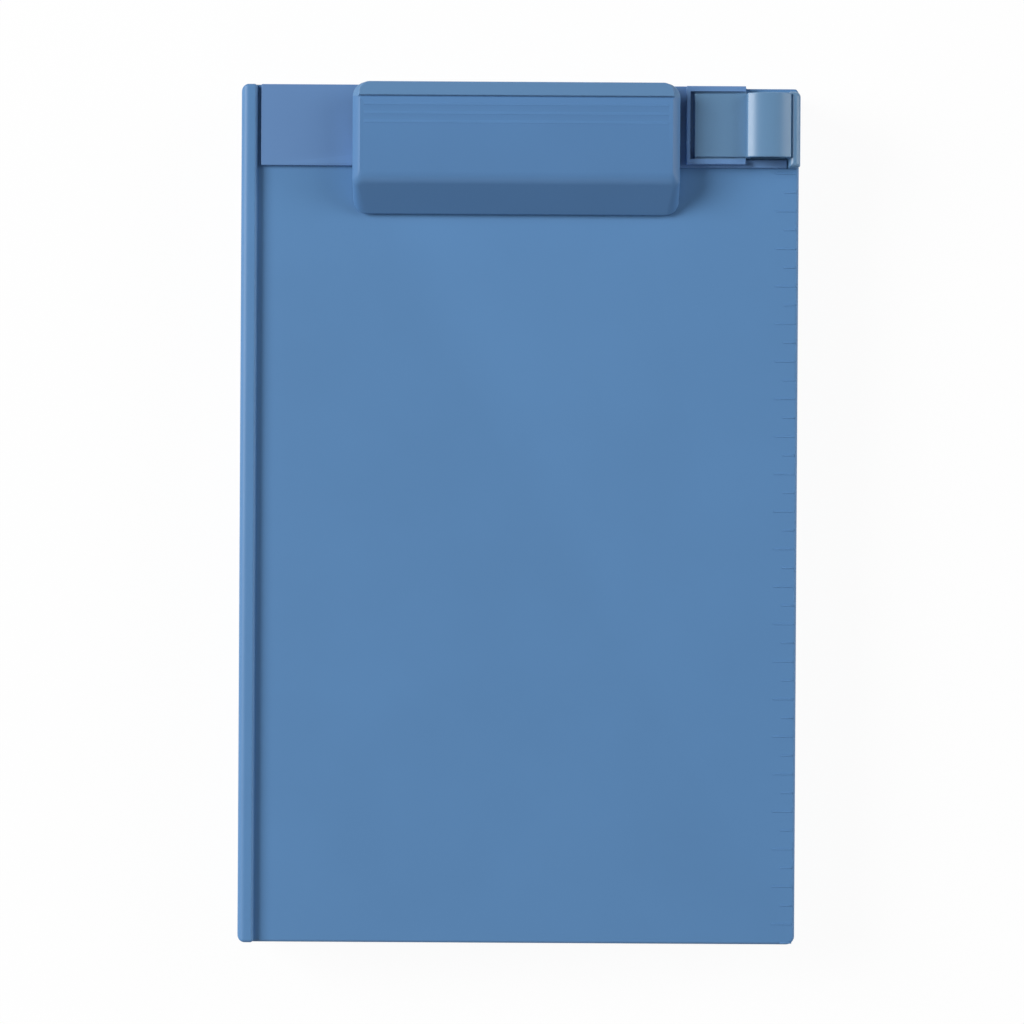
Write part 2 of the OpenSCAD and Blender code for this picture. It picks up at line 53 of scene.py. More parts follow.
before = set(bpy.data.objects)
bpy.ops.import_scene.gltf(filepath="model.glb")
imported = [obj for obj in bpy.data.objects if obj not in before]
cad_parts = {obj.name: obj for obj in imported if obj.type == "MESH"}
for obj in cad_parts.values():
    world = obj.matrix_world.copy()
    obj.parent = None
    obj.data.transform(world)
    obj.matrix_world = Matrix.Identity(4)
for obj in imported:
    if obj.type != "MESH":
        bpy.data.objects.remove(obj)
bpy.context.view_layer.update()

MM = 0.001
ROUND_STEPS = 6
SMALLEST_RADIUS = 0.02 * MM
MERGE_DISTANCE = 1e-7
SHARP_ANGLE = 32
WIRE_ANGLE = 60
FINE_STEPS = 3

TRAY_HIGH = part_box("base_tray")[1]
LID_LOW, LID_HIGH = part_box("lid_board")
HEADER_LOW, HEADER_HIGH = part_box("header_plate")
CLIP_LOW, CLIP_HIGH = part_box("clip_lever")
GRIP_LOW, GRIP_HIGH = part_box("jaw_grip")
ROD_LOW, ROD_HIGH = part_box("clip_rod")
PIN_LOW, PIN_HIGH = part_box("hinge_pin")
PEN_LOW, PEN_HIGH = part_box("pen_holder")
SCREW_LOW, SCREW_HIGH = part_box("header_screws")
LEFT_SPRING_LOW, LEFT_SPRING_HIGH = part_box("clip_spring_left")
RIGHT_SPRING_LOW, RIGHT_SPRING_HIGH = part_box("clip_spring_right")

BOX_RIGHT = LID_HIGH.x
CLIP_EDGE_Y = LID_HIGH.y
BOARD_Z = HEADER_LOW.z
PIVOT_Y = (ROD_LOW.y + ROD_HIGH.y) / 2
PIVOT_Z = (ROD_LOW.z + ROD_HIGH.z) / 2
HINGE_X = (PIN_LOW.x + PIN_HIGH.x) / 2
HINGE_Z = (PIN_LOW.z + PIN_HIGH.z) / 2


def length(name, text, default):
    """A length that a user may change."""
    return bpy.props.FloatProperty(
        name=name, description=text, default=default, min=0.0, unit="LENGTH", precision=5
    )


def colour(name, text, default):
    """A colour that a user may change, written as it looks on a screen."""
    linear = [to_linear(c) for c in default]
    return bpy.props.FloatVectorProperty(
        name=name, description=text, default=linear, subtype="COLOR", size=3, min=0.0, max=1.0
    )


def to_linear(value):
    """The linear value of a screen colour's channel."""
    if value <= 0.04045:
        return value / 12.92
    return ((value + 0.055) / 1.055) ** 2.4


class ClipboardSizes(bpy.types.PropertyGroup):
    """Sizes of the moulded pieces that their corner boxes don't give."""

    corner: length("Corner radius", "Radius of the box's upright corners", 2.2 * MM)
    wall: length("Wall", "Thickness of the tray's and the lid's walls", 2.0 * MM)
    skirt: length("Skirt", "Height of the lid's skirt under the board", 3.0 * MM)
    edge: length("Edge rounding", "Rounding of the board's upper edge", 0.8 * MM)
    rail_width: length("Rail width", "Width of the rail over the hinge", 4.3 * MM)
    rail_outer: length("Rail's outer edge", "Rounding of the rail's outer upper edge", 2.0 * MM)
    rail_inner: length("Rail's inner edge", "Rounding of the rail's inner upper edge", 0.8 * MM)
    mark_pitch: length("Mark pitch", "Spacing of the ruler marks", 5.0 * MM)
    mark_long: length("Long mark", "Length of the long ruler marks", 5.3 * MM)
    mark_short: length("Short mark", "Length of the short ruler marks", 3.1 * MM)
    header_thickness: length("Header", "Thickness of the header plate", 1.2 * MM)
    clip_wall: length("Clip wall", "Thickness of the clip's walls", 1.8 * MM)
    clip_edge: length("Clip edge", "Rounding of the clip's upper edges", 2.0 * MM)
    jaw_corner: length("Jaw corner", "Plan radius of the jaw's corners", 4.0 * MM)
    clip_corner: length("Clip corner", "Plan radius of the clip's rear corners", 4.0 * MM)
    finger_lip: length("Finger lip", "Length of the clip's raised finger lip", 3.7 * MM)
    loop_wall: length("Loop wall", "Wall thickness of the pen loop", 1.0 * MM)
    crown: length("Loop crown", "Radius of the pen loop's shallow crown", 10.5 * MM)
    wire: length("Spring wire", "Radius of the springs' wire", 0.4 * MM)
    coil: length("Spring coil", "Radius of the springs' coils", 2.3 * MM)


class ClipboardColours(bpy.types.PropertyGroup):
    """Colours of the plastics, the rubber and the steel."""

    board: colour("Board blue", "Blue of the lid and the tray", (0.332, 0.497, 0.672))
    clip: colour("Clip blue", "Slightly deeper blue of the clip", (0.318, 0.478, 0.655))
    # Painted light: the finger lip is painted this paler blue in place of the light its top
    # catches
    lip: colour("Lip blue", "Paler blue of the clip's finger lip", (0.358, 0.508, 0.663))
    header: colour("Header blue", "Blue of the header plate", (0.368, 0.508, 0.688))
    holder: colour("Holder blue", "Greyer blue of the pen holder", (0.370, 0.518, 0.655))
    steel: colour("Steel", "Colour of the pins, springs and screws", (0.70, 0.71, 0.73))
    rubber: colour("Rubber", "Colour of the jaw's grip", (0.13, 0.14, 0.16))
    floor: colour("Floor", "Colour of the floor", (0.93, 0.93, 0.93))


# Outlines and solids ----------------------------------------------------------------------------


def rounded_outline(corners, inset=0.0, steps=ROUND_STEPS):
    """Points of a closed outline with round corners, anticlockwise, drawn in by an inset.

    A corner is (u, v, radius).
    """
    edges = []
    count = len(corners)
    for i, corner in enumerate(corners):
        start = Vector(corner[:2])
        along = (Vector(corners[(i + 1) % count][:2]) - start).normalized()
        inward = Vector((-along.y, along.x))
        edges.append((start + inward * inset, along, inward))
    points = []
    for i, corner in enumerate(corners):
        base, before, inward = edges[i - 1]
        other, after, _ = edges[i]
        cross = before.cross(after)
        reach = (other - base).cross(after) / cross
        tip = base + before * reach
        turn = math.atan2(cross, before.dot(after))
        side = 1 if turn > 0 else -1
        radius = max(corner[2] - side * inset, SMALLEST_RADIUS)
        cut = radius * math.tan(abs(turn) / 2)
        centre = tip - before * cut + inward * radius * side
        spoke = -inward * radius * side
        for k in range(steps + 1):
            a = turn * k / steps
            points.append(centre + Vector((
                spoke.x * math.cos(a) - spoke.y * math.sin(a),
                spoke.x * math.sin(a) + spoke.y * math.cos(a),
            )))
    return points


def rectangle(u0, v0, u1, v1, radius):
    """Corners of a rectangle for rounded_outline."""
    return [(u0, v0, radius), (u1, v0, radius), (u1, v1, radius), (u0, v1, radius)]


PLACES = {
    "X": lambda along, p: (along, p.x, p.y),
    "Y": lambda along, p: (p.x, along, p.y),
    "Z": lambda along, p: (p.x, p.y, along),
}


def new_piece(name, mesh_data):
    """An object in the scene that holds a bmesh, with its faces turned outward."""
    bmesh.ops.remove_doubles(mesh_data, verts=mesh_data.verts, dist=MERGE_DISTANCE)
    bmesh.ops.recalc_face_normals(mesh_data, faces=mesh_data.faces)
    mesh = bpy.data.meshes.new(name)
    mesh_data.to_mesh(mesh)
    mesh_data.free()
    piece = bpy.data.objects.new(name, mesh)
    bpy.context.scene.collection.objects.link(piece)
    return piece


def lofted(name, rings):
    """A solid through rings of the same number of points, with flat ends."""
    data = bmesh.new()
    made = [[data.verts.new(p) for p in ring] for ring in rings]
    count = len(made[0])
    for low, high in zip(made, made[1:]):
        for k in range(count):
            data.faces.new((low[k], low[(k + 1) % count], high[(k + 1) % count], high[k]))
    data.faces.new(reversed(made[0]))
    data.faces.new(made[-1])
    return new_piece(name, data)


def gathered(name, pieces):
    """One object that holds several separate solids."""
    data = bmesh.new()
    for piece in pieces:
        data.from_mesh(piece.data)
        mesh = piece.data
        bpy.data.objects.remove(piece)
        bpy.data.meshes.remove(mesh)
    return new_piece(name, data)


def rim(rounding, steps):
    """Places from an end face inward, each with the inset of the outline there."""
    if not rounding:
        return [(0.0, 0.0)]
    angles = [math.pi / 2 * k / steps for k in range(steps + 1)]
    return [(rounding * (1 - math.cos(a)), rounding * (1 - math.sin(a))) for a in angles]


def swept(
    name, corners, axis, low, high, round_low=0.0, round_high=0.0, steps=ROUND_STEPS, drawn_in=0.0
):
    """A solid of one outline along an axis, drawn in by a distance, with rounded end rims."""
    place = PLACES[axis]
    stations = [(low + depth, inset) for depth, inset in rim(round_low, steps)]
    stations += [(high - depth, inset) for depth, inset in reversed(rim(round_high, steps))]
    rings = []
    for along, inset in stations:
        rings.append([place(along, p) for p in rounded_outline(corners, drawn_in + inset, steps)])
    return lofted(name, rings)


def turned(name, axis, centre, stations, sides=48):
    """A turned solid through stations of (place along the axis, radius), round a centre."""
    place = PLACES[axis]
    turns = [2 * math.pi * k / sides for k in range(sides)]
    rings = []
    for along, radius in stations:
        circle = [
            Vector((centre[0] + radius * math.cos(t), centre[1] + radius * math.sin(t)))
            for t in turns
        ]
        rings.append([place(along, p) for p in circle])
    return lofted(name, rings)


def round_bar(name, axis, centre, radius, low, high, rounding=0.0, sides=48):
    """A round bar along an axis, with rounded rims."""
    ends = rim(rounding, FINE_STEPS)
    stations = [(low + depth, radius - inset) for depth, inset in ends]
    stations += [(high - depth, radius - inset) for depth, inset in reversed(ends)]
    return turned(name, axis, centre, stations, sides)


def bar(name, low, high, rounding=0.2 * MM, axis="Z", steps=FINE_STEPS):
    """A straight bar between two corners, with every edge rounded."""
    u, v, w = {"X": (1, 2, 0), "Y": (0, 2, 1), "Z": (0, 1, 2)}[axis]
    corners = rectangle(low[u], low[v], high[u], high[v], rounding)
    return swept(name, corners, axis, low[w], high[w], rounding, rounding, steps)


def combine(piece, others, how):
    """Joins solids to a piece or cuts them from it, and keeps only the result."""
    for other in others:
        step = piece.modifiers.new(other.name, "BOOLEAN")
        step.object = other
        step.operation = how
        step.solver = "EXACT"
    graph = bpy.context.evaluated_depsgraph_get()
    mesh = bpy.data.meshes.new_from_object(piece.evaluated_get(graph))
    piece.modifiers.clear()
    old = piece.data
    piece.data = mesh
    bpy.data.meshes.remove(old)
    mesh.name = piece.name
    for other in others:
        data = other.data
        bpy.data.objects.remove(other)
        bpy.data.meshes.remove(data)
    return piece


def join(piece, *others):
    """Joins solids to a piece."""
    return combine(piece, others, "UNION")


def cut(piece, *others):
    """Cuts solids from a piece."""
    return combine(piece, others, "DIFFERENCE")


def finish_piece(piece, body, material, replaced=(), angle=SHARP_ANGLE, bent=None):
    """Shades a piece, gives it its finish, and lets it ride on its body unless it is bent.

    Bent holds another body and two points for a piece across a joint; they are not used, and such
    a piece only keeps its place in the row frame.
    """
    mesh = piece.data
    mesh.materials.clear()
    mesh.materials.append(material)
    mesh.polygons.foreach_set("use_smooth", [True] * len(mesh.polygons))
    mesh.set_sharp_from_angle(angle=math.radians(angle))
    normals = piece.modifiers.new("Even shading", "WEIGHTED_NORMAL")
    normals.keep_sharp = True
    normals.weight = 100
    if bent:
        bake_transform(piece)
    else:
        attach(piece, body)
    if replaced:
        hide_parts(*replaced)
    return piece


# Finishes ---------------------------------------------------------------------------------------


class Finish:
    """A node material that is put together step by step."""

    def __init__(self, name):
        self.material = bpy.data.materials.new(name)
        self.material.use_nodes = True
        self.tree = self.material.node_tree
        self.shader = self.tree.nodes["Principled BSDF"]
        self.place = self.add("ShaderNodeTexCoord").outputs["Object"]

    def add(self, kind, **settings):
        node = self.tree.nodes.new(kind)
        for key, value in settings.items():
            setattr(node, key, value)
        return node

    def link(self, source, target):
        self.tree.links.new(source, target)

    def stretched(self, factors):
        """The place on the piece, stretched along an axis."""
        node = self.add("ShaderNodeVectorMath", operation="MULTIPLY")
        self.link(self.place, node.inputs[0])
        node.inputs[1].default_value = factors
        return node.outputs["Vector"]

    def noise(self, scale, detail=2.0, roughness=0.5, place=None):
        """A soft noise; scale is in features per metre."""
        node = self.add("ShaderNodeTexNoise")
        node.inputs["Scale"].default_value = scale
        node.inputs["Detail"].default_value = detail
        node.inputs["Roughness"].default_value = roughness
        self.link(place or self.place, node.inputs["Vector"])
        return node.outputs["Fac"]

    def mapped(self, source, low, high, from_low=0.3, from_high=0.7):
        """A value spread over another range."""
        node = self.add("ShaderNodeMapRange")
        node.inputs["From Min"].default_value = from_low
        node.inputs["From Max"].default_value = from_high
        node.inputs["To Min"].default_value = low
        node.inputs["To Max"].default_value = high
        self.link(source, node.inputs["Value"])
        return node.outputs["Result"]

    def mixed(self, amount, first, second):
        """A colour between two others; each is a colour or another node's output."""
        node = self.add("ShaderNodeMix", data_type="RGBA")
        self.link(amount, node.inputs["Factor"])
        for socket, value in ((node.inputs[6], first), (node.inputs[7], second)):
            if isinstance(value, bpy.types.NodeSocket):
                self.link(value, socket)
            else:
                socket.default_value = (*value, 1.0)
        return node.outputs[2]

    def bumped(self, height, strength, distance):
        """A bump on the surface; distance is its depth in metres."""
        node = self.add("ShaderNodeBump")
        node.inputs["Strength"].default_value = strength
        node.inputs["Distance"].default_value = distance
        self.link(height, node.inputs["Height"])
        return node.outputs["Normal"]


def shaded(rgb, factor):
    """A colour made darker or lighter."""
    return tuple(min(1.0, c * factor) for c in rgb)


# Moulded plastic: features of its noises in a metre, and what they change
CLOUD_SCALE = 35
CLOUD_SHADES = (0.98, 1.02)
GLOSS_SCALE = 260
GLOSS_CHANGES = (-0.01, 0.015)
GRAIN_SCALE = 4200
GRAIN_DEPTH = 0.02 * MM
PLASTIC_IOR = 1.49

# Paler pointed edges: how pointed they are, how far they pale, and their shade. Then how far the
# lip's painted light fades in
EDGE_POINTS = (0.505, 0.60)
EDGE_PALE_SHARE = 0.22
EDGE_SHADE = 1.35
LIP_LIGHT_FADE = 0.2 * MM

# Drawn steel: features in a metre along its lines and across them
LINES_ALONG = 60.0
LINES_ACROSS = 2600.0
LINE_SHADES = (0.86, 1.08)
LINE_DEPTH = 0.01 * MM
STEEL_GLOSS = (0.22, 0.38)

DUST_SHADE = 1.6
RUBBER_GLOSS = (0.68, 0.85)
PEBBLE_DEPTH = 0.03 * MM


def moulded_plastic(name, rgb, grain=0.10, gloss=0.42, sheen=0.25, painted_lip_light=None):
    """Satin moulded plastic: fine spark-eroded grain, faint flow clouds and paler pointed edges.

    The lip light is a paler colour, painted light standing in for the brightness the finger lip's
    top catches, and the place along Y from which the plastic has it.
    """
    f = Finish(name)
    clouds = f.mapped(f.noise(CLOUD_SCALE, 3.0), 0.0, 1.0)
    tint = f.mixed(clouds, *(shaded(rgb, shade) for shade in CLOUD_SHADES))
    # Painted light: from here back the finger lip gets a paler colour for the light its top
    # catches
    if painted_lip_light:
        paler, start = painted_lip_light
        across = f.add("ShaderNodeSeparateXYZ")
        f.link(f.place, across.inputs["Vector"])
        share = f.mapped(across.outputs["Y"], 0.0, 1.0, start - LIP_LIGHT_FADE, start)
        tint = f.mixed(share, tint, paler)
    # Sharply curved convex edges are made paler, up to about a fifth of the way to a lighter shade
    points = f.add("ShaderNodeNewGeometry").outputs["Pointiness"]
    paling = f.mapped(points, 0.0, EDGE_PALE_SHARE, *EDGE_POINTS)
    f.link(f.mixed(paling, tint, shaded(rgb, EDGE_SHADE)), f.shader.inputs["Base Color"])
    low, high = (gloss + change for change in GLOSS_CHANGES)
    f.link(f.mapped(f.noise(GLOSS_SCALE), low, high), f.shader.inputs["Roughness"])
    f.link(f.bumped(f.noise(GRAIN_SCALE), grain, GRAIN_DEPTH), f.shader.inputs["Normal"])
    f.shader.inputs["IOR"].default_value = PLASTIC_IOR
    f.shader.inputs["Specular IOR Level"].default_value = sheen
    return f.material


def drawn_steel(name, rgb, along):
    """Drawn and plated steel wire or rod, with fine lines along its length."""
    f = Finish(name)
    factors = [LINES_ALONG if k == along else LINES_ACROSS for k in range(3)]
    lines = f.noise(1.0, 3.0, 0.6, f.stretched(factors))
    tint = f.mixed(f.mapped(lines, 0.0, 1.0), *(shaded(rgb, shade) for shade in LINE_SHADES))
    f.link(tint, f.shader.inputs["Base Color"])
    f.link(f.mapped(f.noise(900), *STEEL_GLOSS), f.shader.inputs["Roughness"])
    f.link(f.bumped(lines, 0.12, LINE_DEPTH), f.shader.inputs["Normal"])
    f.shader.inputs["Metallic"].default_value = 1.0
    return f.material


def soft_rubber(name, rgb):
    """Dull rubber with a pebbled skin and a little dust."""
    f = Finish(name)
    dust = f.mapped(f.noise(300, 4.0, 0.6), 0.0, 0.5)
    f.link(f.mixed(dust, rgb, shaded(rgb, DUST_SHADE)), f.shader.inputs["Base Color"])
    f.link(f.mapped(f.noise(700), *RUBBER_GLOSS), f.shader.inputs["Roughness"])
    f.link(f.bumped(f.noise(2600), 0.3, PEBBLE_DEPTH), f.shader.inputs["Normal"])
    return f.material


def finish_for(context, name):
    """One of the object's finishes by its name."""
    colours = context.scene.clipboard_colours
    lip_front = CLIP_HIGH.y - context.scene.clipboard_sizes.finger_lip
    # The finger lip's paler colour is painted light, for the brightness of its top
    painted_lip_light = (tuple(colours.lip), lip_front)
    makers = {
        "board plastic": lambda n: moulded_plastic(n, tuple(colours.board)),
        "clip plastic": lambda n: moulded_plastic(n, tuple(colours.clip), painted_lip_light=painted_lip_light),
        "header plastic": lambda n: moulded_plastic(n, tuple(colours.header)),
        "holder plastic": lambda n: moulded_plastic(
            n, tuple(colours.holder), grain=0.06, gloss=0.30, sheen=0.38
        ),
        "steel along x": lambda n: drawn_steel(n, tuple(colours.steel), 0),
        "steel along y": lambda n: drawn_steel(n, tuple(colours.steel), 1),
        "steel along z": lambda n: drawn_steel(n, tuple(colours.steel), 2),
        "rubber": lambda n: soft_rubber(n, tuple(colours.rubber)),
    }
    return bpy.data.materials.get(name) or makers[name](name)


# Moulded shells ---------------------------------------------------------------------------------

# How far cutters reach past what they cut, and a height above everything
BEYOND = 5 * MM
JUST_BEYOND = 3 * MM
ABOVE_ALL = 0.05
BORE_SIDES = 32
BORE_GAP = 0.05 * MM
PIN_RADIUS = (PIN_HIGH.x - PIN_LOW.x) / 2
ROD_RADIUS = (ROD_HIGH.z - ROD_LOW.z) / 2
SCREW_Y = (SCREW_LOW.y + SCREW_HIGH.y) / 2

# Hinge: its axis lies at the joint, and the tray's left wall stops under the lid's swing
KNUCKLES = 7
HINGE_GAP = 0.3 * MM
SWING_GAP = 0.4 * MM
KNUCKLE_RADIUS = TRAY_HIGH.z - HINGE_Z
RELIEF = HINGE_X - LID_LOW.x
WEB_INSET = 1 * MM
WEB_SHORTER = 0.05 * MM

# The tray's lip inside the lid, its friction nibs, and the recess for a finger
INNER_CORNER_LESS = 1 * MM
LIP_GAP = 0.3 * MM
LIP_WALL = 1.2 * MM
LIP_HEIGHT = 1.5 * MM
NIB_HALF = 4 * MM
NIB_DEPTH = 0.5 * MM
NIB_OUT = 0.15 * MM
NIB_LEVELS = (0.4 * MM, 1.1 * MM)
RECESS_HALF = 12 * MM
RECESS_HEIGHT = 4.5 * MM
RECESS_DEPTH = 0.9 * MM

# Ruler marks, counted from the clip edge
RULER_START = 23 * MM
MARK_HALF = 0.2 * MM
MARK_ROOT = 0.1 * MM
MARK_HEIGHT = 0.15 * MM

# The clip's bearing lugs on the header plate, each over one screw
INNER_LUG = 8 * MM
LUG_HALF = 2.5 * MM
LUG_RADIUS = 2.7 * MM
PILLAR_HALF = 2.2 * MM
PILLAR_OVER = 0.8 * MM
SCREW_HEAD = 2.1 * MM
SCREW_HOLE = 1.2 * MM

# The pen holder, its frame on the header plate and the bay behind it
SLIDE_GAP = 0.2 * MM
BAY_DEPTH = 0.5 * MM
BAY_DROP = 3.5 * MM
FRAME_STEP = 0.7 * MM
FRAME_X = BOX_RIGHT - 30.25 * MM
FRAME_HEIGHT = 2.2 * MM
FRAME_WALL = 0.8 * MM
FRAME_LIP = 1.4 * MM
FRAME_LIP_THICKNESS = 0.9 * MM
FRAME_END = 1.1 * MM
LOOP_WIDTH = 11.7 * MM
LOOP_LEFT = BOX_RIGHT - 2.55 * MM - LOOP_WIDTH
LOOP_FRONT = 19.2 * MM
CROWN_SLOPE = math.radians(30)
CROWN_STEPS = 16
TAB_BACK = 2.1 * MM
TAB_FRONT = 18.9 * MM
TAB_RISE = 1.8 * MM
TONGUE_RISE = 1.1 * MM
FLANGE_HEIGHT = 5.8 * MM
FLANGE_EDGE = 1.6 * MM
FLANGE_CORNER = 1.5 * MM


def plan(inset, radius):
    """The box's plan, drawn in."""
    return rectangle(
        LID_LOW.x + inset, LID_LOW.y + inset, LID_HIGH.x - inset, LID_HIGH.y - inset, radius
    )


def bore(axis, radius, low, high):
    """A cutter for the bore of the hinge pin along Y, or of the clip's rod along X."""
    centre = {"X": (PIVOT_Y, PIVOT_Z), "Y": (HINGE_X, HINGE_Z)}[axis]
    return round_bar("bore", axis, centre, radius + BORE_GAP, low, high, sides=BORE_SIDES)


def hinge_knuckles(first, web_low, web_high):
    """Every second knuckle along the hinge, with the web that carries it."""
    run = PIN_HIGH.y - PIN_LOW.y + 2 * HINGE_GAP
    pitch = run / KNUCKLES
    half_web = RELIEF - WEB_INSET
    axis = (HINGE_X, HINGE_Z)
    made = []
    for i in range(first, KNUCKLES, 2):
        low = -run / 2 + i * pitch + HINGE_GAP / 2
        high = low + pitch - HINGE_GAP
        made.append(round_bar("knuckle", "Y", axis, KNUCKLE_RADIUS, low, high, 0.25 * MM))
        made.append(bar("web", (HINGE_X - half_web, low + WEB_SHORTER, web_low),
                        (HINGE_X + half_web, high - WEB_SHORTER, web_high), 0.2 * MM, "Y"))
    return made


def pen_bay(low_z):
    """The shallow bay in the clip edge, behind the pen loop."""
    return bar("bay", (LOOP_LEFT, CLIP_EDGE_Y - BAY_DEPTH, low_z),
               (BOX_RIGHT + JUST_BEYOND, CLIP_EDGE_Y + JUST_BEYOND, BOARD_Z + BEYOND), 0.4 * MM)


def tray_lip(wall, inner, joint):
    """The lip that keeps the lid in place, open beside the hinge."""
    ring = swept("lip", plan(wall + LIP_GAP, inner), "Z",
                 joint - 1 * MM, joint + LIP_HEIGHT, 0, 0.3 * MM)
    root = swept("lip_root", plan(wall - 0.2 * MM, inner), "Z", joint - 3 * MM, joint - LIP_GAP)
    join(ring, root)
    inside = plan(wall + LIP_GAP + LIP_WALL, inner)
    end_x = HINGE_X + RELIEF + 2 * MM
    return cut(ring, swept("inside", inside, "Z", joint - BEYOND, joint + BEYOND),
               bar("left", (LID_LOW.x - BEYOND, LID_LOW.y - BEYOND, 0),
                   (end_x, LID_HIGH.y + BEYOND, ABOVE_ALL)))


def build_tray(sizes):
    """The tray: a rounded shell with the lip for the lid, its knuckles and a finger recess."""
    wall = sizes.wall
    joint = HINGE_Z
    shell = swept("tray_shell", plan(0, sizes.corner), "Z", 0, joint, 1.2 * MM, 0.25 * MM)
    inner = sizes.corner - INNER_CORNER_LESS
    cut(shell, swept("hollow", plan(wall, inner), "Z", wall, joint + BEYOND, 0.9 * MM))
    ring = tray_lip(wall, inner, joint)
    nibs = []
    for side in (-1, 1):
        x = LID_HIGH.x - wall - LIP_GAP
        y = side * (LID_HIGH.y - LID_LOW.y) / 4
        low, high = NIB_LEVELS
        nibs.append(bar("nib", (x - NIB_DEPTH, y - NIB_HALF, joint + low),
                        (x + NIB_OUT, y + NIB_HALF, joint + high), 0.12 * MM, "Y"))
    join(shell, ring, *nibs)
    wall_top = HINGE_Z - RELIEF - WEB_INSET
    far = LID_HIGH.y + BEYOND
    swing = bar("swing", (LID_LOW.x - BEYOND, -far, wall_top), (HINGE_X, far, ABOVE_ALL),
                0.05 * MM, "Y")
    cut(shell, swing,
        round_bar("swing_round", "Y", (HINGE_X, HINGE_Z), RELIEF + SWING_GAP, -far, far),
        pen_bay(joint - BAY_DROP),
        bar("recess", (LID_HIGH.x - RECESS_DEPTH, -RECESS_HALF, joint - RECESS_HEIGHT),
            (LID_HIGH.x + JUST_BEYOND, RECESS_HALF, joint + BEYOND), 0.8 * MM, "X"))
    join(shell, *hinge_knuckles(0, wall_top - 2.5 * MM, HINGE_Z))
    return cut(shell, bore("Y", PIN_RADIUS, -far, far))


def build_lid(sizes):
    """The lid: the board with its skirt, the rounded rail over the hinge and its knuckles."""
    wall = sizes.wall
    inner = sizes.corner - INNER_CORNER_LESS
    plate_z = HINGE_Z + sizes.skirt
    rail_z = LID_HIGH.z
    rail_x = LID_LOW.x + sizes.rail_width
    shell = swept("lid_shell", plan(0, sizes.corner), "Z",
                  HINGE_Z, BOARD_Z, 0.25 * MM, sizes.edge)
    rail = swept("rail", [
        (LID_LOW.x, plate_z, 0.1 * MM),
        (rail_x, plate_z, 0.1 * MM),
        (rail_x, rail_z, sizes.rail_inner),
        (LID_LOW.x, rail_z, sizes.rail_outer),
    ], "Y", LID_LOW.y, LID_HIGH.y, 0.9 * MM, 0.9 * MM)
    keeper = swept("keeper", plan(0, sizes.corner), "Z", plate_z - 1 * MM, rail_z + 1 * MM)
    combine(rail, [keeper], "INTERSECT")
    join(shell, rail)
    opening_y = LID_HIGH.y - wall
    holes = [round_bar("hole", "Z", (x, SCREW_Y), SCREW_HOLE, 0, ABOVE_ALL, sides=BORE_SIDES)
             for x in lug_places()]
    cut(shell,
        swept("underside", plan(wall, inner), "Z", HINGE_Z - 1 * MM, plate_z, 0, 0.5 * MM),
        bar("open_side", (LID_LOW.x - BEYOND, -opening_y, HINGE_Z - BEYOND),
            (HINGE_X + RELIEF, opening_y, HINGE_Z + RELIEF), 0.2 * MM, "Y"),
        pen_bay(0), *holes)
    join(shell, *hinge_knuckles(1, HINGE_Z, HINGE_Z + RELIEF + 0.6 * MM))
    ends = []
    for side in (-1, 1):
        low, high = sorted((side * opening_y, side * (LID_HIGH.y - 0.3 * MM)))
        ends.append(round_bar("end", "Y", (HINGE_X, HINGE_Z), RELIEF - 0.02 * MM,
                              low, high, 0.3 * MM))
    join(shell, *ends)
    run = PIN_HIGH.y + HINGE_GAP
    return cut(shell, bore("Y", PIN_RADIUS, -run, run))


def build_ruler(sizes):
    """The raised marks along the right edge: every other one is long."""
    marks = []
    right = BOX_RIGHT - sizes.edge
    y = CLIP_EDGE_Y - RULER_START
    while y - MARK_HALF > LID_LOW.y:
        size = sizes.mark_short if len(marks) % 2 else sizes.mark_long
        marks.append(bar("mark", (right - size, y - MARK_HALF, BOARD_Z - MARK_ROOT),
                         (right, y + MARK_HALF, BOARD_Z + MARK_HEIGHT), 0.07 * MM, "X", 2))
        y = CLIP_EDGE_Y - RULER_START - len(marks) * sizes.mark_pitch
    return gathered("ruler_marks", marks)


def lug_places():
    """Places along X of the clip's bearing lugs, each over one screw."""
    middle = (CLIP_LOW.x + CLIP_HIGH.x) / 2
    outer = (SCREW_HIGH.x - SCREW_LOW.x) / 2 - SCREW_HEAD
    return [middle - outer, middle - INNER_LUG, middle + INNER_LUG, middle + outer]


def bearing_lug(x):
    """One bearing lug: the round around the rod, its foot, and the pillar over the screw."""
    low, high = x - LUG_HALF, x + LUG_HALF
    foot, root_z = LUG_RADIUS - 0.04 * MM, BOARD_Z + 0.2 * MM
    return [
        round_bar("lug", "X", (PIVOT_Y, PIVOT_Z), LUG_RADIUS, low, high, 0.3 * MM),
        bar("lug_foot", (low + 0.04 * MM, PIVOT_Y - foot, root_z),
            (high - 0.04 * MM, PIVOT_Y + foot, PIVOT_Z), 0.2 * MM, "X"),
        bar("pillar", (low + 0.08 * MM, SCREW_Y - PILLAR_HALF, root_z),
            (high - 0.08 * MM, PIVOT_Y, SCREW_HIGH.z + PILLAR_OVER), 0.3 * MM, "Z"),
    ]


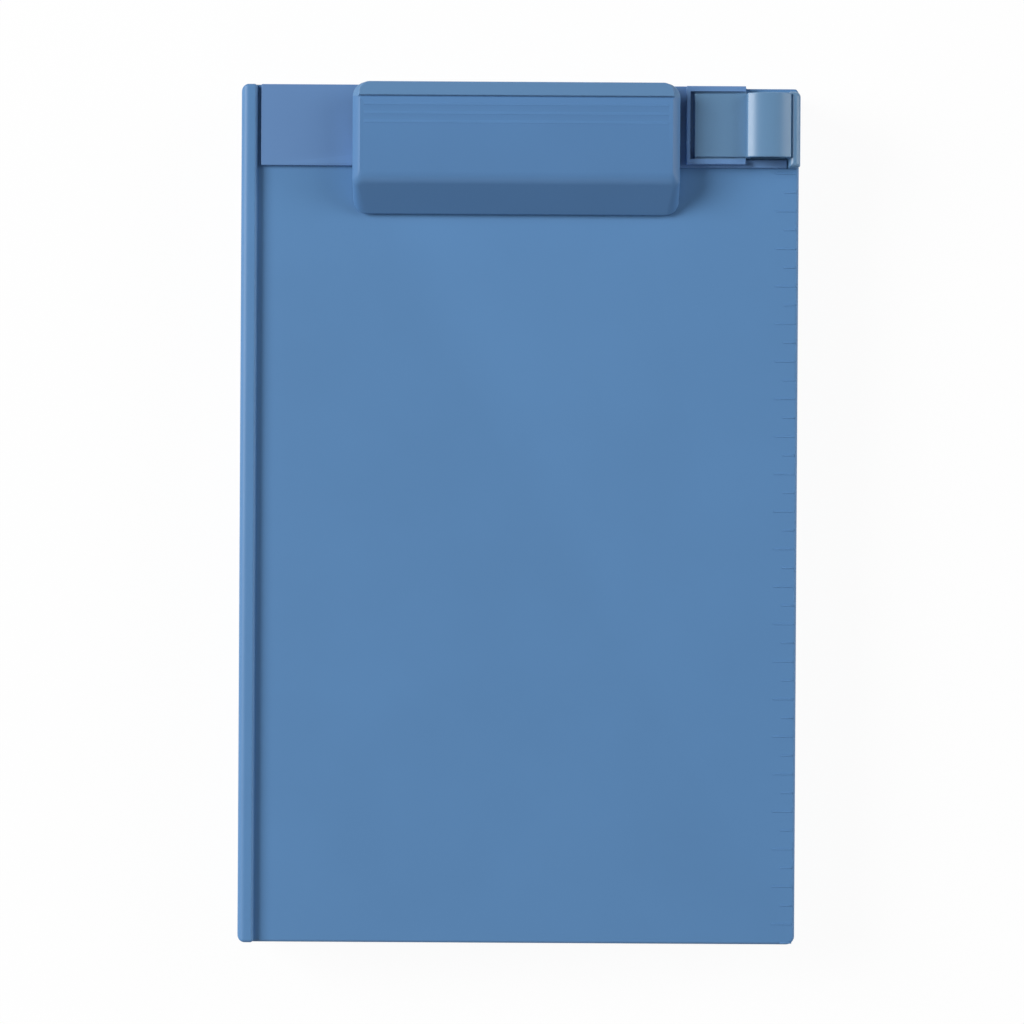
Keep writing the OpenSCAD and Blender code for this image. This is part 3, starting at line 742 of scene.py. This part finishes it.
def build_header(sizes):
    """The header plate with the clip's bearing lugs and the pen holder's frame."""
    top = BOARD_Z + sizes.header_thickness
    back, front = CLIP_EDGE_Y - 0.1 * MM, HEADER_LOW.y + FRAME_STEP
    right = LOOP_LEFT - SLIDE_GAP
    rim_z = top + FRAME_HEIGHT
    strip_back = CLIP_EDGE_Y - LOOP_FRONT - SLIDE_GAP
    plate = swept("header_moulding", [
        (HEADER_LOW.x, HEADER_LOW.y, 0.3 * MM),
        (HEADER_HIGH.x, HEADER_LOW.y, 0.3 * MM),
        (HEADER_HIGH.x, strip_back, 0.3 * MM),
        (right, strip_back, 0.2 * MM),
        (right, CLIP_EDGE_Y, 0.3 * MM),
        (HEADER_LOW.x, CLIP_EDGE_Y, 0.3 * MM),
    ], "Z", BOARD_Z, top, 0.05 * MM, 0.25 * MM, 4)
    lugs = [solid for x in lug_places() for solid in bearing_lug(x)]
    pen_frame = bar("pen_frame", (FRAME_X, front, BOARD_Z + 0.3 * MM),
                    (right + JUST_BEYOND, back, rim_z), 0.3 * MM, "Z", 4)
    far = right + 6 * MM
    inside_x = FRAME_X + FRAME_END
    cut(pen_frame,
        bar("channel", (inside_x, front + FRAME_WALL, top - 0.05 * MM),
            (far, back - FRAME_WALL, rim_z - FRAME_LIP_THICKNESS), 0.1 * MM),
        bar("slot", (inside_x, front + FRAME_LIP, top - 0.1 * MM),
            (far, back - FRAME_LIP, rim_z + JUST_BEYOND), 0.15 * MM),
        bar("open_end", (right, front - JUST_BEYOND, BOARD_Z - JUST_BEYOND),
            (far + JUST_BEYOND, back + JUST_BEYOND, rim_z + 4 * MM), 0.1 * MM))
    join(plate, pen_frame, *lugs)
    return cut(plate, bore("X", ROD_RADIUS, -0.06, 0.06))


# Clip -------------------------------------------------------------------------------------------

# The bend between the flat top and the sloped jaw, and the nose of the jaw
BEND = math.radians(44)
BEND_RADIUS = 5 * MM
BEND_Y = CLIP_EDGE_Y - 25.6 * MM
BEND_STEPS = 16
NOSE_RADIUS = 0.8 * MM
JAW_BLOCK = 3.2 * MM

# The top with its finger lip, groove and grip ridges
LIP_RISE = 0.4 * MM
CLIP_TOP = CLIP_HIGH.z - LIP_RISE
FINGER_LIP_IN = 1.6 * MM
FINGER_LIP_CORNER = 2.9 * MM
LIP_GROOVE = (0.45 * MM, 0.35 * MM)
RIDGES = (5.9 * MM, 8.3 * MM, 10.6 * MM)
RIDGE_HALF = 0.4 * MM
RIDGE_RISE = 0.07 * MM
RIDGE_IN = 3 * MM

# How round the upper bevel is, and how the corners and the rear lean in along it
BEVEL_FULLNESS = 1.15
JAW_TAPER = 0.45
LEAN = 0.6
CORNER_LESS = 0.5

# The ends' lower edge over the header plate, which rises to the rear for the swing
CLIP_OPENING = math.radians(18)
END_GAP = 1.6 * MM
RISE_START = 15.5 * MM
BOSS_WALL = 1.3 * MM
BOSS_LENGTH = 1.6 * MM


def clip_front_places(edge):
    """Heights up the clip with the place of its front: nose, sloped jaw and bend to the top."""
    slope = math.tan(BEND)
    nose_y = CLIP_LOW.y + NOSE_RADIUS
    nose_run = BEND_Y - nose_y + NOSE_RADIUS * math.sin(BEND)
    nose_z = CLIP_TOP - nose_run * slope - NOSE_RADIUS * math.cos(BEND)
    flat_y = BEND_Y + BEND_RADIUS * math.tan(BEND / 2)
    places = [(CLIP_LOW.z, CLIP_LOW.y), (CLIP_LOW.z + 0.3 * MM, CLIP_LOW.y)]
    for k in range(5):
        a = (math.pi / 2 - BEND) * k / 4
        places.append((nose_z + NOSE_RADIUS * math.sin(a), nose_y - NOSE_RADIUS * math.cos(a)))
    bend_z = CLIP_TOP - BEND_RADIUS * (1 - math.cos(BEND))
    for k in range(BEND_STEPS + 1):
        z = CLIP_TOP - edge * (1 - math.sin(math.pi / 2 * k / BEND_STEPS))
        if z < bend_z:
            places.append((z, BEND_Y - (CLIP_TOP - z) / slope))
        else:
            a = math.acos(1 - (CLIP_TOP - z) / BEND_RADIUS)
            places.append((z, flat_y - BEND_RADIUS * math.sin(a)))
    return places


def clip_body(sizes):
    """The clip's outer form, built up from level slices with round corners and a bevelled top."""
    rings = []
    edge = sizes.clip_edge
    slope_run = CLIP_TOP - edge - CLIP_LOW.z
    for z, front in clip_front_places(edge):
        up = min(1.0, max(0.0, 1 - (CLIP_TOP - z) / edge))
        inset = edge * (1 - (1 - up ** BEVEL_FULLNESS) ** (1 / BEVEL_FULLNESS))
        if z == CLIP_LOW.z:
            inset = 0.25 * MM
            front += inset
        left, right = CLIP_LOW.x + inset, CLIP_HIGH.x - inset
        rear = CLIP_HIGH.y - inset * LEAN
        height = min(1.0, (z - CLIP_LOW.z) / slope_run)
        jaw = sizes.jaw_corner * (1 - JAW_TAPER * height) - inset * LEAN
        corner = sizes.clip_corner - inset * CORNER_LESS
        outline = rounded_outline([
            (left, front, jaw), (right, front, jaw), (right, rear, corner), (left, rear, corner),
        ], 0.0, 12)
        rings.append([(p.x, p.y, z) for p in outline])
    return lofted("clip_shell", rings)


def clip_cutters(sizes):
    """What makes the clip a shell: its hollow, and the room under its ends."""
    low, high, wall = CLIP_LOW.x, CLIP_HIGH.x, sizes.clip_wall
    inner_z = CLIP_TOP - wall
    corner_y = BEND_Y + wall * math.tan(BEND / 2)
    block_z = BOARD_Z + JAW_BLOCK
    block_y = corner_y - (inner_z - block_z) / math.tan(BEND)
    hollow = swept("hollow", [
        (block_y, 0, 0.1 * MM),
        (CLIP_HIGH.y - wall, 0, 0.1 * MM),
        (CLIP_HIGH.y - wall, inner_z, 0.5 * MM),
        (corner_y, inner_z, 3.0 * MM),
        (block_y, block_z, 0.4 * MM),
    ], "X", low + wall, high - wall, 0.5 * MM, 0.5 * MM, 4)
    end_z = HEADER_LOW.z + END_GAP
    rise_y, step_y = CLIP_EDGE_Y - RISE_START, HEADER_LOW.y - 1 * MM
    behind_y = CLIP_EDGE_Y + JUST_BEYOND
    rise = (behind_y - rise_y) * math.tan(CLIP_OPENING)
    under = swept("under", [
        (step_y, 0, 0.1 * MM),
        (behind_y, 0, 0.1 * MM),
        (behind_y, end_z + rise, 0.1 * MM),
        (rise_y, end_z, 2.0 * MM),
        (step_y, end_z, 0.3 * MM),
    ], "X", low - BEYOND, high + BEYOND)
    return hollow, under


def build_clip(sizes):
    """The clip: a rounded shell with a raised finger lip, grip ridges, a bend and a sloped jaw."""
    low, high, wall = CLIP_LOW.x, CLIP_HIGH.x, sizes.clip_wall
    shell = cut(clip_body(sizes), *clip_cutters(sizes))
    lip_low, lip_high = low + FINGER_LIP_IN, high - FINGER_LIP_IN
    lip_front, lip_back = CLIP_HIGH.y - sizes.finger_lip, CLIP_HIGH.y - 0.02 * MM
    lip = swept("finger_lip", [
        (lip_low, lip_front, 0.3 * MM),
        (lip_high, lip_front, 0.3 * MM),
        (lip_high, lip_back, FINGER_LIP_CORNER),
        (lip_low, lip_back, FINGER_LIP_CORNER),
    ], "Z", CLIP_TOP - 0.9 * MM, CLIP_HIGH.z, 0.05 * MM, 0.35 * MM, 8)
    ridges = []
    for distance in RIDGES:
        y = CLIP_EDGE_Y - distance
        ridges.append(bar("ridge", (low + RIDGE_IN, y - RIDGE_HALF, CLIP_TOP - 0.4 * MM),
                          (high - RIDGE_IN, y + RIDGE_HALF, CLIP_TOP + RIDGE_RISE),
                          0.13 * MM, "X"))
    bosses = []
    for start, end in (
        (low + wall - 0.3 * MM, low + wall + BOSS_LENGTH),
        (high - wall - BOSS_LENGTH, high - wall + 0.3 * MM),
    ):
        bosses.append(round_bar("boss", "X", (PIVOT_Y, PIVOT_Z), ROD_RADIUS + BOSS_WALL,
                                start, end, 0.2 * MM))
    join(shell, lip, *ridges, *bosses)
    width, depth = LIP_GROOVE
    groove = bar("groove", (lip_low, lip_front - width, CLIP_TOP - depth),
                 (lip_high, lip_front + 0.02 * MM, CLIP_TOP + 2 * MM), 0.08 * MM, "X")
    return cut(shell, groove, bar("pocket", GRIP_LOW, GRIP_HIGH, 0.05 * MM),
               bore("X", ROD_RADIUS, low - 1 * MM, high + 1 * MM))


def build_grip():
    """The rubber grip: a strip with fine ribs along its lower face."""
    low, high = GRIP_LOW, GRIP_HIGH
    ribs = 4
    pitch = (high.y - low.y) / ribs
    radius = pitch * 0.38
    strip = bar("jaw_rubber", (low.x, low.y, low.z + 0.15 * MM), high, 0.08 * MM, "X")
    solids = [
        round_bar("rib", "X", (low.y + (i + 0.5) * pitch, low.z + radius), radius,
                  low.x + 0.1 * MM, high.x - 0.1 * MM, 0.05 * MM, 16) for i in range(ribs)
    ]
    return join(strip, *solids)


# Pen holder -------------------------------------------------------------------------------------


def build_pen_holder(sizes):
    """The pen holder: the sliding tab with its tongues, the crowned loop, and the flange."""
    half = LOOP_WIDTH / 2
    middle = LOOP_LEFT + half
    right = LOOP_LEFT + LOOP_WIDTH
    floor_z = PEN_LOW.z
    apex_z = PEN_HIGH.z + sizes.crown * (1 / math.cos(CROWN_SLOPE) - 1)
    shoulder_z = apex_z - half * math.tan(CROWN_SLOPE)
    header_top = BOARD_Z + sizes.header_thickness
    tab_low, tab_high = header_top + SLIDE_GAP, header_top + TAB_RISE
    back, front = CLIP_EDGE_Y - TAB_BACK, CLIP_EDGE_Y - TAB_FRONT
    outline = [
        (LOOP_LEFT, floor_z, 0.3 * MM),
        (right, floor_z, 0.3 * MM),
        (right, shoulder_z, 0.6 * MM),
        (middle, apex_z, sizes.crown),
        (LOOP_LEFT, shoulder_z, 0.6 * MM),
    ]
    loop = swept("pen_loop", outline, "Y", CLIP_EDGE_Y - LOOP_FRONT, back,
                 0.3 * MM, 0.3 * MM, CROWN_STEPS)
    cut(loop, swept("loop_bore", outline, "Y", front - 9 * MM, back + BEYOND,
                    steps=CROWN_STEPS, drawn_in=sizes.loop_wall))
    tongues = bar("tongues", (PEN_LOW.x + 0.04 * MM, front - 1 * MM, tab_low),
                  (LOOP_LEFT - 0.02 * MM, back + 1 * MM, header_top + TONGUE_RISE), 0.1 * MM)
    tab = bar("tab", (PEN_LOW.x, front, tab_low + 0.05 * MM),
              (LOOP_LEFT + 0.6 * MM, back, tab_high), 0.25 * MM, "Z", 4)
    flange_x = right - sizes.loop_wall / 2
    flange_back, flange_front = back + 0.5 * MM, HEADER_LOW.y - 0.1 * MM
    flange = swept("flange", [
        (flange_x, flange_front, 0.4 * MM),
        (BOX_RIGHT, flange_front, 0.6 * MM),
        (BOX_RIGHT, flange_back, FLANGE_CORNER),
        (flange_x, flange_back, 0.4 * MM),
    ], "Z", floor_z, BOARD_Z + FLANGE_HEIGHT, 0.15 * MM, FLANGE_EDGE, 8)
    return join(loop, tab, tongues, flange)


# Steel ------------------------------------------------------------------------------------------

# Screws: radii of the domed head by height, the thread and its pitch
HEAD_DOME = ((0.0, 1.2 * MM), (0.08 * MM, 1.6 * MM), (0.3 * MM, 1.92 * MM), (0.7 * MM, SCREW_HEAD))
HEAD_HEIGHT = 1.3 * MM
THREAD_ROOT = 0.78 * MM
THREAD_CREST = 1.0 * MM
THREAD_PITCH = 0.8 * MM
CROSS_ARM = 1.15 * MM
CROSS_HALF = 0.28 * MM
CROSS_DEPTH = 0.75 * MM

# Springs
SPRING_TURNS = 6
SPRING_LEG = 8 * MM
SPRING_GAP = 0.05 * MM
TURN_STEPS = 24
LEG_STEPS = 6
WIRE_SIDES = 12


def build_rod():
    """The clip's pivot rod with rounded ends."""
    return round_bar("pivot_rod", "X", (PIVOT_Y, PIVOT_Z), ROD_RADIUS,
                     ROD_LOW.x, ROD_HIGH.x, 0.3 * MM)


def build_hinge_pin():
    """The hinge pin with rounded ends."""
    return round_bar("hinge_rod", "Y", (HINGE_X, HINGE_Z), PIN_RADIUS,
                     PIN_LOW.y, PIN_HIGH.y, 0.3 * MM)


def screw_stations():
    """Heights up a screw with its radius there: the head, the threaded shank and the point."""
    low, top = SCREW_LOW.z, SCREW_HIGH.z
    seat = low + HEAD_HEIGHT
    stations = [(low + height, radius) for height, radius in HEAD_DOME]
    stations += [(seat, SCREW_HEAD), (seat, 0.8 * MM)]
    z = seat + 0.3 * MM
    while z < top - 1.4 * MM:
        stations += [(z, THREAD_ROOT), (z + 0.3 * MM, THREAD_CREST),
                     (z + 0.4 * MM, THREAD_CREST), (z + 0.7 * MM, THREAD_ROOT)]
        z += THREAD_PITCH
    return stations + [(top - 0.9 * MM, 0.75 * MM), (top, 0.25 * MM)]


def build_screws():
    """Pan-head screws from inside the lid: domed head, cross recess and a threaded shank."""
    low = SCREW_LOW.z
    made = []
    for x in lug_places():
        screw = turned("screw", "Z", (x, SCREW_Y), screw_stations(), 32)
        slots = [
            bar("slot", (x - a, SCREW_Y - b, low - 1 * MM),
                (x + a, SCREW_Y + b, low + CROSS_DEPTH), 0.08 * MM)
            for a, b in ((CROSS_ARM, CROSS_HALF), (CROSS_HALF, CROSS_ARM))
        ]
        made.append(cut(screw, *slots))
    return gathered("screws", made)


def leg_angle(rise, coil):
    """How far a leg leans from level to reach a rise from the rod, tangent to the coil."""
    reach = math.sqrt(SPRING_LEG * SPRING_LEG + coil * coil - rise * rise)
    return 2 * math.atan((SPRING_LEG - reach) / (coil + rise))


def build_spring(name, low, high, sizes):
    """A torsion spring: a leg on the plate, the turns around the rod, and a leg under the clip."""
    wire, coil = sizes.wire, sizes.coil
    header_top = BOARD_Z + sizes.header_thickness
    plate_rise = PIVOT_Z - header_top - wire - SPRING_GAP
    clip_rise = CLIP_TOP - sizes.clip_wall - wire - SPRING_GAP - PIVOT_Z
    start = leg_angle(plate_rise, coil) - math.pi / 2
    end = math.pi / 2 - leg_angle(clip_rise, coil) + 2 * math.pi * SPRING_TURNS
    width = high.x - low.x - 2 * wire
    middle = (low.x + high.x) / 2
    first_x, last_x = middle - width / 2, middle + width / 2
    # Each place on the wire: its X, its angle round the rod, and its way along a leg
    count = TURN_STEPS * SPRING_TURNS
    places = [(first_x, start, -SPRING_LEG * k / LEG_STEPS) for k in range(LEG_STEPS, 0, -1)]
    for i in range(count + 1):
        t = i / count
        places.append((middle + width * (t - 0.5), start + t * (end - start), 0.0))
    places += [(last_x, end, SPRING_LEG * k / LEG_STEPS) for k in range(1, LEG_STEPS + 1)]
    turns = [2 * math.pi * k / WIRE_SIDES for k in range(WIRE_SIDES)]
    rings = []
    for x, a, along in places:
        y = PIVOT_Y - coil * math.cos(a) + along * math.sin(a)
        z = PIVOT_Z + coil * math.sin(a) + along * math.cos(a)
        rings.append([
            (x + wire * math.sin(b), y - wire * math.cos(b) * math.cos(a),
             z + wire * math.cos(b) * math.sin(a)) for b in turns
        ])
    return lofted(name, rings)


# Operators --------------------------------------------------------------------------------------


class PieceOperator:
    """What the operators share."""

    bl_options = {"REGISTER", "UNDO"}

    def execute(self, context):
        self.build(context, context.scene.clipboard_sizes)
        return {"FINISHED"}


class CLIPBOARD_OT_tray(PieceOperator, bpy.types.Operator):
    """Build the storage tray"""

    bl_idname = "clipboard.tray"
    bl_label = "Tray"

    def build(self, context, sizes):
        finish_piece(build_tray(sizes), "tray",
                     finish_for(context, "board plastic"), ["base_tray"])


class CLIPBOARD_OT_lid(PieceOperator, bpy.types.Operator):
    """Build the lid with its board, rail and knuckles"""

    bl_idname = "clipboard.lid"
    bl_label = "Lid"

    def build(self, context, sizes):
        finish_piece(build_lid(sizes), "lid",
                     finish_for(context, "board plastic"), ["lid_board"])


class CLIPBOARD_OT_ruler(PieceOperator, bpy.types.Operator):
    """Build the ruler marks along the right edge"""

    bl_idname = "clipboard.ruler"
    bl_label = "Ruler Marks"

    def build(self, context, sizes):
        finish_piece(build_ruler(sizes), "lid",
                     finish_for(context, "board plastic"))


class CLIPBOARD_OT_header(PieceOperator, bpy.types.Operator):
    """Build the header plate with the clip's lugs and the pen holder's frame"""

    bl_idname = "clipboard.header"
    bl_label = "Header Plate"

    def build(self, context, sizes):
        finish_piece(build_header(sizes), "lid",
                     finish_for(context, "header plastic"), ["header_plate"])


class CLIPBOARD_OT_clip(PieceOperator, bpy.types.Operator):
    """Build the clip"""

    bl_idname = "clipboard.clip"
    bl_label = "Clip"

    def build(self, context, sizes):
        finish_piece(build_clip(sizes), "clip",
                     finish_for(context, "clip plastic"), ["clip_lever"])


class CLIPBOARD_OT_grip(PieceOperator, bpy.types.Operator):
    """Build the rubber grip under the jaw"""

    bl_idname = "clipboard.grip"
    bl_label = "Jaw Grip"

    def build(self, context, sizes):
        finish_piece(build_grip(), "clip", finish_for(context, "rubber"), ["jaw_grip"])


class CLIPBOARD_OT_pen_holder(PieceOperator, bpy.types.Operator):
    """Build the sliding pen holder"""

    bl_idname = "clipboard.pen_holder"
    bl_label = "Pen Holder"

    def build(self, context, sizes):
        finish_piece(build_pen_holder(sizes), "pen",
                     finish_for(context, "holder plastic"), ["pen_holder"])


class CLIPBOARD_OT_steel(PieceOperator, bpy.types.Operator):
    """Build the pivot rod, the hinge pin and the screws"""

    bl_idname = "clipboard.steel"
    bl_label = "Rods and Screws"

    def build(self, context, sizes):
        for piece, body, grain, node in (
            (build_rod(), "lid", "steel along x", "clip_rod"),
            (build_hinge_pin(), "tray", "steel along y", "hinge_pin"),
            (build_screws(), "lid", "steel along z", "header_screws"),
        ):
            finish_piece(piece, body, finish_for(context, grain), [node])


class CLIPBOARD_OT_springs(PieceOperator, bpy.types.Operator):
    """Build the two torsion springs of the clip"""

    bl_idname = "clipboard.springs"
    bl_label = "Springs"

    def build(self, context, sizes):
        for name, node, low, high in (
            ("left_spring", "clip_spring_left", LEFT_SPRING_LOW, LEFT_SPRING_HIGH),
            ("right_spring", "clip_spring_right", RIGHT_SPRING_LOW, RIGHT_SPRING_HIGH),
        ):
            piece = build_spring(name, low, high, sizes)
            # The coil's lowest and highest points, passed on with the clip; the spring itself
            # stays fixed in the row frame
            middle = (low.x + high.x) / 2
            start = (middle, PIVOT_Y, PIVOT_Z - sizes.coil)
            end = (middle, PIVOT_Y, PIVOT_Z + sizes.coil)
            finish_piece(piece, "lid", finish_for(context, "steel along x"), [node],
                         WIRE_ANGLE, ("clip", start, end))


class CLIPBOARD_OT_stage(bpy.types.Operator):
    """Set the floor, the lights, the background and the camera"""

    bl_idname = "clipboard.stage"
    bl_label = "Stage"
    bl_options = {"REGISTER", "UNDO"}

    def execute(self, context):
        build_floor(context)
        build_lights()
        build_background()
        build_camera(context)
        context.scene.view_settings.view_transform = "Standard"
        return {"FINISHED"}


# Stage ------------------------------------------------------------------------------------------

# Millimetres of the board in one pixel of the image, and the pixel where the board's middle lies
MM_PER_PIXEL = 0.2665
IMAGE_SIDE = 1024
BOARD_MIDDLE_PIXEL = (518.4, 514.8)
CAMERA_HEIGHT = 1.0
SENSOR_WIDTH = 36.0
# Degrees that the camera is turned and leaned
CAMERA_ROLL = 0.33
CAMERA_TILT = 0.3

FLOOR_HALF = 3.0
FLOOR_ROUGHNESS = 0.9
FLOOR_WHITE = 0.95
ROOM_LIGHT = 0.02

# Each light's name, direction and height in degrees, width, height in metres and power in watts
LIGHT_DISTANCE = 2.0
LIGHTS = (
    ("left", 162, 36, 1.1, 1.0, 49.0),
    ("upper right", 22, 34, 1.3, 0.8, 13.0),
    ("right", 0, 14, 0.9, 0.5, 12.0),
    ("bottom", -90, 42, 1.2, 0.9, 4.5),
)


def build_camera(context):
    """A camera straight above the board, with the slight roll and tilt of the photograph."""
    data = bpy.data.cameras.new("camera")
    data.sensor_width = SENSOR_WIDTH
    view_width = MM_PER_PIXEL * IMAGE_SIDE * MM
    data.lens = data.sensor_width * CAMERA_HEIGHT / view_width
    camera = bpy.data.objects.new("camera", data)
    context.scene.collection.objects.link(camera)
    roll, tilt = math.radians(CAMERA_ROLL), math.radians(CAMERA_TILT)
    right = (IMAGE_SIDE / 2 - BOARD_MIDDLE_PIXEL[0]) * MM_PER_PIXEL * MM
    up = (BOARD_MIDDLE_PIXEL[1] - IMAGE_SIDE / 2) * MM_PER_PIXEL * MM
    target = Vector((
        right * math.cos(roll) - up * math.sin(roll),
        right * math.sin(roll) + up * math.cos(roll),
        BOARD_Z,
    ))
    back = Vector((0, math.sin(tilt), math.cos(tilt)))
    camera.location = target + back * CAMERA_HEIGHT
    camera.rotation_euler = (-tilt, 0, roll)
    context.scene.camera = camera


def build_floor(context):
    """The pale floor, white to the camera but for a faint shadow of the object."""
    data = bmesh.new()
    corners = ((-1, -1), (1, -1), (1, 1), (-1, 1))
    data.faces.new([data.verts.new((x * FLOOR_HALF, y * FLOOR_HALF, 0)) for x, y in corners])
    floor = new_piece("floor", data)
    f = Finish("floor")
    f.shader.inputs["Base Color"].default_value = (*context.scene.clipboard_colours.floor, 1)
    f.shader.inputs["Roughness"].default_value = FLOOR_ROUGHNESS
    white = f.add("ShaderNodeEmission")
    white.inputs["Strength"].default_value = 1.0
    share = f.add("ShaderNodeMath", operation="MULTIPLY")
    share.inputs[1].default_value = FLOOR_WHITE
    f.link(seen_rays(f.tree), share.inputs[0])
    mix = f.add("ShaderNodeMixShader")
    f.link(share.outputs[0], mix.inputs[0])
    f.link(f.shader.outputs[0], mix.inputs[1])
    f.link(white.outputs[0], mix.inputs[2])
    f.link(mix.outputs[0], f.tree.nodes["Material Output"].inputs["Surface"])
    floor.data.materials.append(f.material)


def seen_rays(tree):
    """One for the camera's rays, in mirrors and through glass too, and nothing for the light's."""
    path = tree.nodes.new("ShaderNodeLightPath")
    seen = path.outputs["Is Camera Ray"]
    for kind in ("Is Glossy Ray", "Is Transmission Ray"):
        more = tree.nodes.new("ShaderNodeMath")
        more.operation = "MAXIMUM"
        tree.links.new(seen, more.inputs[0])
        tree.links.new(path.outputs[kind], more.inputs[1])
        seen = more.outputs[0]
    return seen


def build_background():
    """A white background to the camera and in reflections, and a soft light from all round."""
    world = bpy.data.worlds.new("background")
    world.use_nodes = True
    tree = world.node_tree
    base = tree.nodes["Background"]
    base.inputs["Color"].default_value = (1, 1, 1, 1)
    base.inputs["Strength"].default_value = ROOM_LIGHT
    white = tree.nodes.new("ShaderNodeBackground")
    white.inputs["Strength"].default_value = 1.0
    mix = tree.nodes.new("ShaderNodeMixShader")
    tree.links.new(seen_rays(tree), mix.inputs[0])
    tree.links.new(base.outputs[0], mix.inputs[1])
    tree.links.new(white.outputs[0], mix.inputs[2])
    tree.links.new(mix.outputs[0], tree.nodes["World Output"].inputs["Surface"])
    bpy.context.scene.world = world


def build_lights():
    """A broad soft light at the left of the photograph, and three weak ones round the object."""
    for name, azimuth, elevation, width, height, power in LIGHTS:
        data = bpy.data.lights.new(name, "AREA")
        data.shape = "RECTANGLE"
        data.size = width
        data.size_y = height
        data.energy = power
        lamp = bpy.data.objects.new(name, data)
        a, e = math.radians(azimuth), math.radians(elevation)
        away = Vector((math.cos(a) * math.cos(e), math.sin(a) * math.cos(e), math.sin(e)))
        lamp.location = away * LIGHT_DISTANCE
        lamp.rotation_mode = "QUATERNION"
        lamp.rotation_quaternion = away.to_track_quat("Z", "Y")
        bpy.context.scene.collection.objects.link(lamp)


# Panel and registration -------------------------------------------------------------------------

PIECE_OPERATORS = (
    CLIPBOARD_OT_tray,
    CLIPBOARD_OT_lid,
    CLIPBOARD_OT_ruler,
    CLIPBOARD_OT_header,
    CLIPBOARD_OT_clip,
    CLIPBOARD_OT_grip,
    CLIPBOARD_OT_pen_holder,
    CLIPBOARD_OT_steel,
    CLIPBOARD_OT_springs,
    CLIPBOARD_OT_stage,
)


class CLIPBOARD_PT_build(bpy.types.Panel):
    """The build steps, the sizes and the colours"""

    bl_label = "Clipboard Box"
    bl_idname = "CLIPBOARD_PT_build"
    bl_space_type = "VIEW_3D"
    bl_region_type = "UI"
    bl_category = "Clipboard Box"

    def draw(self, context):
        layout = self.layout
        for operator in PIECE_OPERATORS:
            layout.operator(operator.bl_idname)
        for group in (context.scene.clipboard_sizes, context.scene.clipboard_colours):
            column = layout.column()
            for name in group.__annotations__:
                column.prop(group, name)


CLASSES = (ClipboardSizes, ClipboardColours, *PIECE_OPERATORS, CLIPBOARD_PT_build)


def register():
    """Makes the classes and the scene's settings known to Blender."""
    for item in CLASSES:
        bpy.utils.register_class(item)
    bpy.types.Scene.clipboard_sizes = bpy.props.PointerProperty(type=ClipboardSizes)
    bpy.types.Scene.clipboard_colours = bpy.props.PointerProperty(type=ClipboardColours)


def unregister():
    """Takes the classes and the settings away again."""
    del bpy.types.Scene.clipboard_sizes
    del bpy.types.Scene.clipboard_colours
    for item in reversed(CLASSES):
        bpy.utils.unregister_class(item)


def main():
    """Builds the pieces in order."""
    register()
    for operator in PIECE_OPERATORS:
        group, name = operator.bl_idname.split(".")
        getattr(getattr(bpy.ops, group), name)()


if __name__ == "__main__":
    main()
